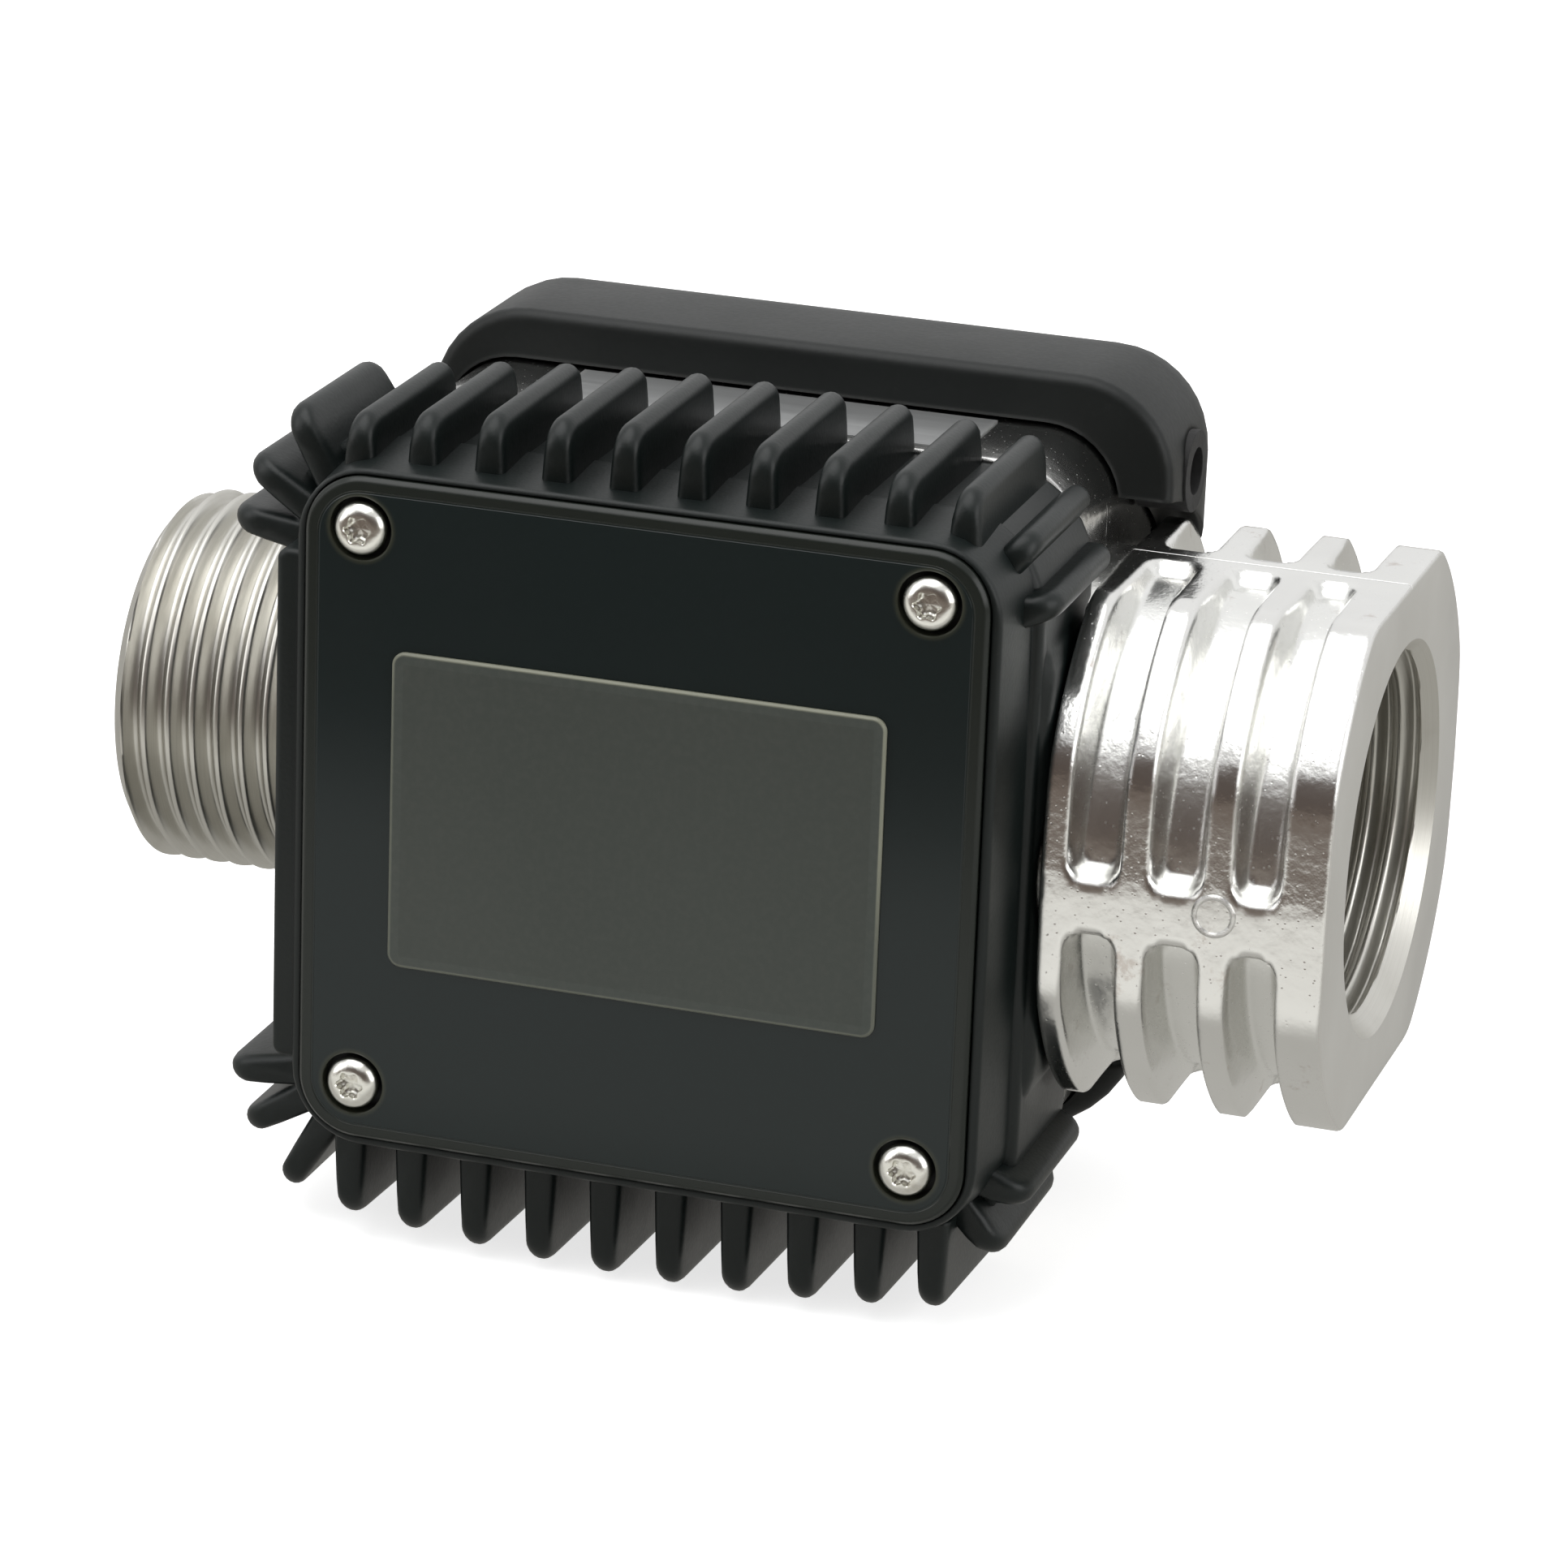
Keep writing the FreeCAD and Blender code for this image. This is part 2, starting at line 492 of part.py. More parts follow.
def rear_cover():
    """Moulded rear cover: round-edged lid over the block, with round cut-outs for the ports."""
    lid = rounded_block(-REAR_X, REAR_X, REAR_Z_LOW, REAR_Z_TOP, REAR_CORNER_R,
                        REAR_Y_FRONT, REAR_Y_BACK)
    lid = lid.makeFillet(7.5, edges_at_y(lid, REAR_Y_BACK))
    lid = lid.makeFillet(1.0, edges_at_y(lid, REAR_Y_FRONT))
    gap = REAR_FIT
    cavity = rounded_block(-BLOCK_X - gap, BLOCK_X + gap, BLOCK_Z_LOW - gap, BLOCK_Z_TOP + gap,
                           BLOCK_CORNER_R + gap, REAR_Y_FRONT - 1, REAR_CAVITY_Y)
    for x, z in rear_screw_places():
        cavity = cavity.cut(tube_y(3.4, BLOCK_Y_REAR + 0.05, REAR_CAVITY_Y + 1, x, z))
    lid = lid.cut(cavity)
    lid = lid.cut(tube_x(26.2, BLOCK_X, 60))
    lid = lid.cut(tube_x(17.6, -60, -BLOCK_X))
    for x, z in rear_screw_places():
        lid = lid.cut(tube_y(SCREW_SHANK_R + 0.2, 0, 40, x, z))
        lid = lid.cut(tube_y(2.9, REAR_CAVITY_Y + 0.8, 40, x, z))
    return lid.cut(tube_x(GLAND_R, REAR_X - 6, REAR_X + 1, GLAND_Y, GLAND_Z))


GLAND_R, GLAND_Y, GLAND_Z = 3.6, 11.4, 26.8


def cable_gland():
    """Rubber cable inlet in the side of the rear cover, with an empty cable hole."""
    gland = tube_x(GLAND_R, BLOCK_X + REAR_FIT, REAR_X + 0.0, GLAND_Y, GLAND_Z)
    return gland.cut(tube_x(2.1, 0, 60, GLAND_Y, GLAND_Z))


def body_label():
    """Bare label on top of the body block."""
    return box(-17.5, 20.0, -6.9, 2.9, BLOCK_Z_TOP, BLOCK_Z_TOP + 0.15)


def measuring_sleeve():
    """Lining tube of the cartridge with two seal grooves."""
    x0, x1 = SLEEVE_X
    sleeve = tube_x(SLEEVE_R, x0, x1).cut(tube_x(SLEEVE_INNER_R, x0 - 1, x1 + 1))
    for x in SEALS_X:
        groove = tube_x(SLEEVE_R + 1, x - 0.8, x + 0.8).cut(tube_x(SLEEVE_R - 1.15, x - 2, x + 2))
        sleeve = sleeve.cut(groove)
    return sleeve


SEALS_X = (-18.6, 18.6)


def sleeve_seals():
    """Two O-rings of the cartridge."""
    rings = []
    for x in SEALS_X:
        section = Part.Wire(Part.makeCircle(0.6, V(x, 0, 13.78), Y_AXIS))
        rings.append(Part.Face(section).revolve(V(0, 0, 0), X_AXIS, 360))
    return Part.makeCompound(rings)


def flow_support(side):
    """Flow straightener with hub, four vanes and rim; side -1 is the inlet, +1 the outlet."""
    near, far = 7.3, 20.5
    rim = tube_x(SLEEVE_INNER_R - 0.02, near + 1, far).cut(tube_x(SLEEVE_INNER_R - 0.9, 0, 40))
    nose = revolve_x([(near, 0), (near, HUB_R), (near + 6.5, HUB_R), (near + 9.5, HUB_R - 0.9),
                      (near + 11.6, HUB_R - 2.3), (near + 13.0, 0.9), (near + 13.2, 0)])
    vanes = []
    for i in range(4):
        vane = box(near + 1, far - 3.0, -0.55, 0.55, HUB_R - 1.0, SLEEVE_INNER_R - 0.4)
        vane.rotate(V(0, 0, 0), X_AXIS, 45 + 90 * i)
        vanes.append(vane)
    support = nose.multiFuse([rim] + vanes)
    support = support.cut(tube_x(BUSH_R, near - 1, BUSH_X[1] + 0.3))
    if side < 0:
        support.rotate(V(0, 0, 0), Z_AXIS, 180)
    return support


def bush(side):
    """Plain bearing bush pressed into a flow support."""
    x0, x1 = BUSH_X
    ring = tube_x(BUSH_R, x0, x1).cut(tube_x(BUSH_BORE_R, x0 - 1, x1 + 1))
    if side < 0:
        ring.rotate(V(0, 0, 0), Z_AXIS, 180)
    return ring


def rotor_blade():
    """One helical blade: thin sections turned about the axis and lofted along it."""
    sections = []
    steps = 4
    for i in range(steps + 1):
        x = -HUB_HALF + 0.8 + (2 * HUB_HALF - 1.6) * i / steps
        turn = BLADE_TWIST * (i / steps - 0.5)
        half = BLADE_THICK / 2 * (1.0 if 0 < i < steps else 0.55)
        corners = [V(x, -half * 1.5, HUB_R - 1.2), V(x, half * 1.5, HUB_R - 1.2),
                   V(x, half, BLADE_R + 1.5), V(x, -half, BLADE_R + 1.5)]
        wire = Part.makePolygon(corners + [corners[0]])
        wire.rotate(V(0, 0, 0), X_AXIS, turn)
        sections.append(wire)
    return Part.makeLoft(sections, True, True)


def turbine_rotor():
    """Turbine wheel: hub with a round-edged face and six helical blades."""
    hub = revolve_x([(-HUB_HALF, 0), (-HUB_HALF, HUB_R - 0.7), (-HUB_HALF + 0.7, HUB_R),
                     (HUB_HALF - 0.7, HUB_R), (HUB_HALF, HUB_R - 0.7), (HUB_HALF, 0)])
    blade = rotor_blade()
    blades = []
    for i in range(BLADE_COUNT):
        copy = blade.copy()
        copy.rotate(V(0, 0, 0), X_AXIS, 360.0 * i / BLADE_COUNT)
        blades.append(copy)
    limit = tube_x(BLADE_R, -20, 20)
    rotor = hub.multiFuse([b.common(limit) for b in blades])
    rotor = rotor.cut(tube_x(SHAFT_R, -20, 20))
    for z in MAGNETS_Z:
        rotor = rotor.cut(tube_x(MAGNET_R, HUB_HALF - 3.0, HUB_HALF + 1, 0, z))
    return rotor


MAGNETS_Z = (-3.4, 3.4)
MAGNET_R = 1.15


def rotor_magnets():
    """Two magnets in the face of the hub."""
    return Part.makeCompound([tube_x(MAGNET_R, HUB_HALF - 3.0, HUB_HALF - 0.1, 0, z) for z in MAGNETS_Z])


def rotor_shaft():
    """Steel shaft pressed through the hub."""
    shaft = tube_x(SHAFT_R, -SHAFT_HALF, SHAFT_HALF)
    return shaft.makeChamfer(0.25, [e for e in shaft.Edges if e.BoundBox.XLength < 0.01])


def retaining_ring():
    """Open spring ring that keeps the cartridge in the body."""
    ring = tube_x(CHAMBER_R + 0.8, RING_X + 0.05, RING_X + 1.2)
    ring = ring.cut(tube_x(SLEEVE_INNER_R + 0.2, RING_X - 1, RING_X + 3))
    return ring.cut(box(RING_X - 1, RING_X + 3, -2.5, 2.5, -20, 0))


NODES = {
    "meter_body": meter_body, "finned_cover": finned_cover, "front_window": front_window,
    "rating_label": rating_label, "window_gasket": window_gasket, "cover_screws": cover_screws,
    "cover_gasket": cover_gasket, "circuit_board": circuit_board, "board_screws": board_screws,
    "reed_switch": reed_switch, "terminal_block": terminal_block, "rear_cover": rear_cover,
    "rear_screws": rear_screws, "cable_gland": cable_gland, "body_label": body_label,
    "measuring_sleeve": measuring_sleeve, "sleeve_seals": sleeve_seals,
    "inlet_support": lambda: flow_support(-1), "outlet_support": lambda: flow_support(1),
    "inlet_bush": lambda: bush(-1), "outlet_bush": lambda: bush(1),
    "turbine_rotor": turbine_rotor, "rotor_magnets": rotor_magnets, "rotor_shaft": rotor_shaft,
    "retaining_ring": retaining_ring,
}

os.makedirs("parts", exist_ok=True)
for name, make in NODES.items():
    shape = make()
    shape.exportStep("parts/%s.step" % name)
    print(name, "solids", len(shape.Solids), "volume %.0f" % shape.Volume, "valid", shape.isValid())
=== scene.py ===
# %% [markdown]
# # An inline turbine flow meter
# A die-cast body with a male and a ribbed female pipe port sits between two black plastic
# covers. The front one has fins and a screwed-on glossy plate, the rear one is a round-edged
# lid. A small turbine wheel spins in the bore. The solids come ready made, so this lesson is
# about finish: metal, moulded plastic, threads and the small pieces that catch the light.

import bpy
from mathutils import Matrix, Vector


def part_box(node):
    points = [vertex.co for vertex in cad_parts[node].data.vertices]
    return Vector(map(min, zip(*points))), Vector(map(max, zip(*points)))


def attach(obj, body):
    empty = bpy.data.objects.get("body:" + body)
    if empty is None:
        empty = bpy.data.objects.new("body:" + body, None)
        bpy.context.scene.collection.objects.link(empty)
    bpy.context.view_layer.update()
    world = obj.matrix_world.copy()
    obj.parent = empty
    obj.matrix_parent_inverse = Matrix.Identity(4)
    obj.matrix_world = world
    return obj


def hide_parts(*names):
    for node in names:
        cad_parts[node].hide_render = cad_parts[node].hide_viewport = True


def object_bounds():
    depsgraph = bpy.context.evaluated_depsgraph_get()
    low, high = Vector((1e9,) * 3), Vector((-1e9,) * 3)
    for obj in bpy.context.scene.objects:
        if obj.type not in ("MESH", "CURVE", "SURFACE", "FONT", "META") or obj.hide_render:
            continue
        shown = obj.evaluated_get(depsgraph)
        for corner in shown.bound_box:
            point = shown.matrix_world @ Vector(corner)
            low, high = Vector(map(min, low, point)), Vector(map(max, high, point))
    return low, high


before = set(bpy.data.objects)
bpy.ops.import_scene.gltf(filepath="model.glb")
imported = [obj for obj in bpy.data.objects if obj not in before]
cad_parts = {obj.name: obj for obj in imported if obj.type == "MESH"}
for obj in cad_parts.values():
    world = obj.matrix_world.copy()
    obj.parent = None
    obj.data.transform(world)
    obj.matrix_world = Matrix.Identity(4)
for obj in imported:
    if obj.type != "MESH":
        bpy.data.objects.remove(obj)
cad_low, cad_high = [list(corner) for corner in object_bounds()]

import math

import bpy
from mathutils import Matrix, Vector

scene = bpy.context.scene
MM = 0.001
print("CAD box in mm:", [round((b - a) / MM, 1) for a, b in zip(cad_low, cad_high)])

# %% [markdown]
# ## The camera
# The meter is seen from its right and a little from above, through a long lens, so that the
# front plate stays nearly square while the ribbed port shows its open end. A camera is three
# directions and a place. Building them from two angles and a small roll keeps every number
# readable.

# %% Camera
CAMERA_SIDE, CAMERA_RISE, CAMERA_ROLL = map(math.radians, (17.457, 19.13, 2.169))
CAMERA_PLACE = Vector((164.1, -512.3, 183.5)) * MM
SENSOR, LENS = 36.0, 149.04


def camera_axes(side, rise, roll):
    """Right, up and backward directions of a camera that looks at the front of the meter."""
    back = Vector((math.sin(side) * math.cos(rise), -math.cos(side) * math.cos(rise), math.sin(rise)))
    right = Vector((math.cos(side), math.sin(side), 0.0))
    up = back.cross(right)
    return (right * math.cos(roll) + up * math.sin(roll),
            up * math.cos(roll) - right * math.sin(roll), back)


lens = bpy.data.cameras.new("product_lens")
lens.sensor_width = SENSOR
lens.lens = LENS
lens.clip_start, lens.clip_end = 0.05, 20.0
camera = bpy.data.objects.new("product_camera", lens)
camera_columns = camera_axes(CAMERA_SIDE, CAMERA_RISE, CAMERA_ROLL)
camera.matrix_world = Matrix.Translation(CAMERA_PLACE) @ Matrix(camera_columns).transposed().to_4x4()
scene.collection.objects.link(camera)
scene.camera = camera
print("camera at", [round(v, 3) for v in CAMERA_PLACE])

# %% [markdown]
# ## Shader maths as Python
# A finish is a small formula over the surface: where the grain lies, how rough the edge is.
# It could be wired by hand, node by node, but wrapping a socket in a class lets the formula be
# written with plus and times. Values go through Math nodes, colours through Mix nodes.

# %% A socket that can do sums


class Signal:
    """An output socket of a finish, with operators that add nodes."""

    def __init__(self, finish, socket):
        self.finish = finish
        self.socket = socket

    def math(self, operation, first, second=None):
        """A Math node on one or two values."""
        values = {0: first} if second is None else {0: first, 1: second}
        return self.finish.node("ShaderNodeMath", {"operation": operation}, values)

    def __add__(self, other):
        return self.math("ADD", self, other)

    def __radd__(self, other):
        return self.math("ADD", other, self)

    def __sub__(self, other):
        return self.math("SUBTRACT", self, other)

    def __rsub__(self, other):
        return self.math("SUBTRACT", other, self)

    def __mul__(self, other):
        return self.math("MULTIPLY", self, other)

    def __rmul__(self, other):
        return self.math("MULTIPLY", other, self)

    def __pow__(self, other):
        return self.math("POWER", self, other)

    def __abs__(self):
        return self.math("ABSOLUTE", self)

    def least(self, other):
        """The smaller of two values."""
        return self.math("MINIMUM", self, other)

    def most(self, other):
        """The larger of two values."""
        return self.math("MAXIMUM", self, other)

    def wave(self):
        """Sine of the value."""
        return self.math("SINE", self)

    def step(self, low, high):
        """0 at low, 1 at high, smooth between; low above high turns it round."""
        if low > high:
            return 1 - self.step(high, low)
        return self.finish.node("ShaderNodeMapRange", {"interpolation_type": "SMOOTHSTEP"},
                                {"Value": self, "From Min": low, "From Max": high})

    def line(self, centre, half, soft):
        """1 within half of the centre, falling to 0 over a soft border."""
        return abs(self - centre).step(half + soft, half)


print("signals understand", len([name for name in vars(Signal) if name.startswith("__")]), "operators")

# %% [markdown]
# ## One way to make any node
# A node has settings, which must come first because they decide which sockets exist, and
# sockets, which take numbers or links. One method does both, so a finish reads as a list of
# what feeds what. The same class serves a material and the room's light.

# %% A finish under construction


class Finish:
    """A node tree in the making; node() adds any node and returns its output as a Signal."""

    def __init__(self, owner):
        self.owner = owner
        owner.use_nodes = True
        self.tree = owner.node_tree
        self.tree.nodes.clear()

    def node(self, kind, settings=None, values=None, output=0):
        made = self.tree.nodes.new(kind)
        for key, value in (settings or {}).items():
            if key == "stops":
                self.fill_ramp(made.color_ramp, value)
            else:
                setattr(made, key, value)
        for key, value in (values or {}).items():
            socket = made.inputs[key]
            if isinstance(value, Signal):
                self.tree.links.new(value.socket, socket)
            elif isinstance(value, tuple) and socket.type == "RGBA":
                socket.default_value = (*value, 1.0)
            else:
                socket.default_value = value
        return Signal(self, made.outputs[output] if made.outputs else None)

    def fill_ramp(self, ramp, stops):
        while len(ramp.elements) < len(stops):
            ramp.elements.new(0.5)
        for element, (place, colour) in zip(ramp.elements, stops):
            element.position = place
            element.color = (*colour, 1.0)

    def spot(self):
        """Place on the piece, in metres."""
        return self.node("ShaderNodeTexCoord", output=3)

    def place(self):
        """Place on the piece in millimetres, as three signals."""
        scaled = self.node("ShaderNodeVectorMath", {"operation": "SCALE"}, {0: self.spot(), "Scale": 1000.0})
        return [self.node("ShaderNodeSeparateXYZ", None, {0: scaled}, output=i) for i in range(3)]

    def noise(self, scale, detail=4.0, roughness=0.5, where=None, stretch=None):
        """Cloudy noise; scale is in spots per metre, or per unit of where."""
        spot = self.spot() if where is None else where
        if stretch:
            spot = self.node("ShaderNodeVectorMath", {"operation": "MULTIPLY"}, {0: spot, 1: stretch})
        return self.node("ShaderNodeTexNoise", None,
                         {"Vector": spot, "Scale": scale, "Detail": detail, "Roughness": roughness})

    def rings(self, along, scale):
        """Uneven fine lines across one direction, as a cutting tool leaves them."""
        where = self.node("ShaderNodeCombineXYZ", None, {0: along})
        return self.noise(scale, 2.0, 0.6, where)

    def grains(self, scale):
        """Distance to the nearest of many scattered points."""
        return self.node("ShaderNodeTexVoronoi", None, {"Vector": self.spot(), "Scale": scale})

    def blend(self, share, first, second):
        """Mix of two colours."""
        return self.node("ShaderNodeMix", {"data_type": "RGBA"}, {0: share, 6: first, 7: second}, output=2)

    def bump(self, height, depth, normal=None):
        """Normal of a surface that rises by depth millimetres where height is 1."""
        values = {"Height": height, "Strength": 1.0, "Distance": depth * MM}
        if normal is not None:
            values["Normal"] = normal
        return self.node("ShaderNodeBump", None, values)

    def soft_edges(self, radius):
        """Normal that rounds sharp edges over a radius in millimetres."""
        return self.node("ShaderNodeBevel", {"samples": 6}, {"Radius": radius * MM})

    def surface(self, **values):
        """The closing shader. Keys are its socket names with underscores."""
        sockets = {key.replace("_", " "): value for key, value in values.items()}
        shader = self.node("ShaderNodeBsdfPrincipled", None, sockets)
        self.node("ShaderNodeOutputMaterial", None, {"Surface": shader})
        return self.owner


def new_finish(name):
    return Finish(bpy.data.materials.new(name))


def paint(material, *names):
    """Gives CAD nodes their finish."""
    for name in names:
        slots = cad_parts[name].data.materials
        slots.clear()
        slots.append(material)


print("finish helpers ready")

# %% [markdown]
# ## Bright die-cast metal
# The body is pressure die-cast and tumbled bright. The skin is nearly a mirror, with a faint
# orange-peel swell, a finer ripple on the port and tiny pits. The mould leaves brownish stains
# here and there, and the hollows between the ribs stay a little duller. The open end is faced
# on a lathe, so it carries fine rings. One material finds each place by its distance from the
# flow axis.

# %% Cast body finish
body_low, body_high = [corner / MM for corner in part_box("meter_body")]
MALE_END, FEMALE_END = body_low.x, body_high.x

cast = new_finish("bright_cast_metal")
x, y, z = cast.place()
radius = (y * y + z * z) ** 0.5
faced = x.step(FEMALE_END - 0.12, FEMALE_END - 0.04)
port = x.step(30.4, 31.0)
hollow = radius.step(23.2, 21.6) * port * (1 - faced)
swell = cast.noise(380.0, 3.0)
cloud = cast.noise(110.0, 5.0)
pits = cast.grains(1500.0).step(0.20, 0.05) * (1 - faced)
stain = cast.noise(260.0, 6.0, 0.7).step(0.60, 0.72) * (1 - faced)
tint = cast.blend(cloud, (0.74, 0.735, 0.715), (0.86, 0.86, 0.845))
tint = cast.blend(stain * 0.45, tint, (0.40, 0.31, 0.26))
tint = cast.blend(hollow * 0.30, tint, (0.93, 0.94, 0.91))
lathe = cast.rings(radius, 7.0)
parting = abs(y - 0.85).step(0.13, 0.04) * abs(z).step(22.0, 22.3) * port
rough = 0.13 + 0.10 * cloud + 0.06 * hollow + 0.12 * pits + faced * (0.10 + 0.12 * lathe)
ripple = cast.noise(800.0, 3.0, 0.6) * (1 - faced) * port
ripple_depth = 0.10 + 0.24 * z.step(0.5, 2.5)
relief = swell * 0.45 + ripple * ripple_depth - pits * 0.08 + lathe * 0.06 * faced - parting * 0.8
cast_material = cast.surface(Base_Color=tint, Metallic=1.0, Roughness=rough,
                             Normal=cast.bump(relief, 0.12, cast.soft_edges(0.6)))
paint(cast_material, "meter_body")
print("cast body from", round(MALE_END, 1), "to", round(FEMALE_END, 1))

# %% [markdown]
# ## Turned metal
# Both threads are cut after casting. The tool takes off the bright skin and leaves a satin,
# slightly warm grey with uneven fine lines round the axis. Rings of noise along X are cheaper
# than real grooves and, unlike a regular wave, they never flicker into a pattern.

# %% Turned metal of the threads
turned = new_finish("turned_metal")
feed = turned.rings(turned.place()[0], 9.0)
wear = turned.noise(140.0, 4.0)
tone = turned.blend(feed, (0.54, 0.53, 0.49), (0.70, 0.69, 0.65))
tone = turned.blend(wear.step(0.45, 0.75) * 0.5, tone, (0.47, 0.455, 0.41))
turned_material = turned.surface(Base_Color=tone, Metallic=1.0, Roughness=0.27 + 0.10 * feed + 0.06 * wear,
                                 Normal=turned.bump(feed, 0.012))
print("turned metal ready")

# %% [markdown]
# ## Skins made of loops
# Threads, ports, fins, screws and moulded blocks are all rows of loops: each loop goes once
# round an axis and the next one lies a little further on. One helper joins such rows into a
# mesh, which keeps every later shape down to a formula for its outline.

# %% Rows of loops to a mesh
import bmesh


def bmesh_piece(name, shell):
    """Turns a finished bmesh into an object of the scene."""
    mesh = bpy.data.meshes.new(name)
    shell.to_mesh(mesh)
    shell.free()
    piece = bpy.data.objects.new(name, mesh)
    scene.collection.objects.link(piece)
    return piece


def loop_shape(name, rows, closed=False, capped=True):
    """Object from rows of points in millimetres; each row is a closed loop of equal length."""
    count = len(rows[0])
    shell = bmesh.new()
    corners = [shell.verts.new(Vector(point) * MM) for row in rows for point in row]
    for i in range(len(rows) if closed else len(rows) - 1):
        low, high = i * count, (i + 1) % len(rows) * count
        for j in range(count):
            k = (j + 1) % count
            shell.faces.new((corners[low + j], corners[low + k], corners[high + k], corners[high + j]))
    if capped and not closed:
        shell.faces.new(corners[:count][::-1])
        shell.faces.new(corners[-count:])
    bmesh.ops.recalc_face_normals(shell, faces=shell.faces)
    return bmesh_piece(name, shell)


def settle(piece, material, sharp_angle, stands_for=None):
    """Shades a piece, gives it its finish and fixes it to the housing; the angle is in degrees."""
    piece.data.shade_smooth()
    piece.data.set_sharp_from_angle(angle=math.radians(sharp_angle))
    piece.data.materials.clear()
    piece.data.materials.append(material)
    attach(piece, "housing")
    if stands_for:
        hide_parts(stands_for)
    return piece


print("loop helpers ready")

# %% [markdown]
# ## Pipe threads
# A one inch parallel pipe thread has 11 turns to the inch, so its pitch is 2.309 mm, with
# 55 degree flanks and rounded crests and roots. The solid shows plain cylinders there. A
# helical cutter and a Boolean would work, but the thread is just a radius that depends on the
# distance along the axis and the angle, so a fine skin of loops gives cleaner flanks. The
# chamfers at the mouths are a second radius, and the skin takes the smaller or larger of both.
# Three more loops carry the male end over its lip and a little way into the bore.

# %% Thread shape
PITCH = 25.4 / 11
MALE_CREST, MALE_ROOT = 16.62, 15.33
FEMALE_CREST, FEMALE_ROOT = 15.15, 16.50
NECK_X, NECK_R = -35.2, 15.9
CHAMFER = 1.3
MALE_TIP, BORE_R, LIP_CUT = MALE_END - 0.8, 12.8, 0.6
FEMALE_START, MOUTH_DEPTH, MOUTH_R = 19.0, 2.05, 17.2


def ramp(value, low, high):
    """0 below low and 1 above high, straight between."""
    return min(1.0, max(0.0, (value - low) / (high - low)))


def flank(turns):
    """0 on a crest and 1 in a root, for a place given in turns of the thread."""
    share = abs(turns % 1.0 - 0.5) * 2
    straight = ramp(share, 0.14, 0.86)
    return 0.45 * straight + 0.55 * straight * straight * (3 - 2 * straight)


def thread_rows(start, end, radius_at, steps_per_turn=20, angles=168):
    """Loops round X between two places; radius_at takes the place and the turns passed."""
    count = int(abs(end - start) / PITCH * steps_per_turn)
    rows = []
    for i in range(count + 1):
        along = start + (end - start) * i / count
        row = []
        for j in range(angles):
            angle = 2 * math.pi * j / angles
            r = radius_at(along, along / PITCH - j / angles)
            row.append((along, r * math.cos(angle), r * math.sin(angle)))
        rows.append(row)
    return rows


def male_radius(along, turns):
    """Crest radius less the thread, under the chamfer and the run-out at the neck."""
    cut = MALE_CREST - (MALE_CREST - MALE_ROOT) * flank(turns)
    mouth = MALE_ROOT - 0.3 + ramp(along, MALE_TIP, MALE_TIP + CHAMFER) * 1.7
    neck = NECK_R + ramp(NECK_X - along, 0.0, 0.9) * 0.9
    return min(cut, mouth, neck)


def female_radius(along, turns):
    """Crest radius plus the thread, outside the cone of the mouth."""
    cut = FEMALE_CREST + (FEMALE_ROOT - FEMALE_CREST) * flank(turns) \
        * ramp(along, FEMALE_END - FEMALE_START, FEMALE_END - FEMALE_START + 1.5)
    mouth = FEMALE_CREST + ramp(along, FEMALE_END - MOUTH_DEPTH, FEMALE_END) * (MOUTH_R - FEMALE_CREST)
    return max(cut, mouth)


def circle_x(along, r, angles=168):
    """Circle round the flow axis."""
    turns = [2 * math.pi * j / angles for j in range(angles)]
    return [(along, r * math.cos(turn), r * math.sin(turn)) for turn in turns]


male_rows = [circle_x(MALE_TIP + 1.4, BORE_R), circle_x(MALE_TIP + LIP_CUT, BORE_R),
             circle_x(MALE_TIP, BORE_R + LIP_CUT)]
male_rows += thread_rows(MALE_TIP, NECK_X, male_radius)
female_rows = thread_rows(FEMALE_END - FEMALE_START, FEMALE_END, female_radius)
male_thread = loop_shape("male_pipe_thread", male_rows, capped=False)
female_thread = loop_shape("female_pipe_thread", female_rows, capped=False)
for thread in (male_thread, female_thread):
    settle(thread, turned_material, 60.0)
print("thread faces:", len(male_thread.data.polygons), len(female_thread.data.polygons))

# %% [markdown]
# ## The ribbed port
# The port is one bright casting: a round drum with flats on four sides, and between its ribs
# pockets with sloping walls and round corners, as the mould needs them to let go. The solid has
# the ribs and webs with plain grooves. For the shown skin the same ribs are a height over the
# drum: each point asks how deep inside a pocket it lies, and sinks by that much. The slopes
# and the round corners then come from one formula. The flats lean back by a few degrees of
# draft, so that the casting leaves its mould.

# %% Ribs, webs and flats of the port
PORT_START, ROOT_R, FLOOR_R, DRUM_R = 30.6, 22.0, 21.3, 25.6
FLAT_FRONT, FLAT_REAR, FLAT_Z = 23.9, 24.5, 22.4
RIBS = [(32.9, 34.9), (39.9, 41.9), (47.0, 49.0), (53.6, FEMALE_END)]
SIDE_WEB, TOP_WEB, BOTTOM_WEB = (-1.2, 2.1), (0.85, 1.75), (0.5, 3.4)
WEB_R, SLOPE, POCKET_CORNER, SOFT_CORNER = 23.6, 1.15, 1.9, 0.9
DRAFT, DRAFT_START = 0.055, 1.0
PORT_ANGLES = 288


def soft_least(first, second, blur):
    """Smaller of two lengths, with a round corner where they meet."""
    share = min(1.0, max(0.0, 0.5 + 0.5 * (second - first) / blur))
    return second * (1 - share) + first * share - blur * share * (1 - share)


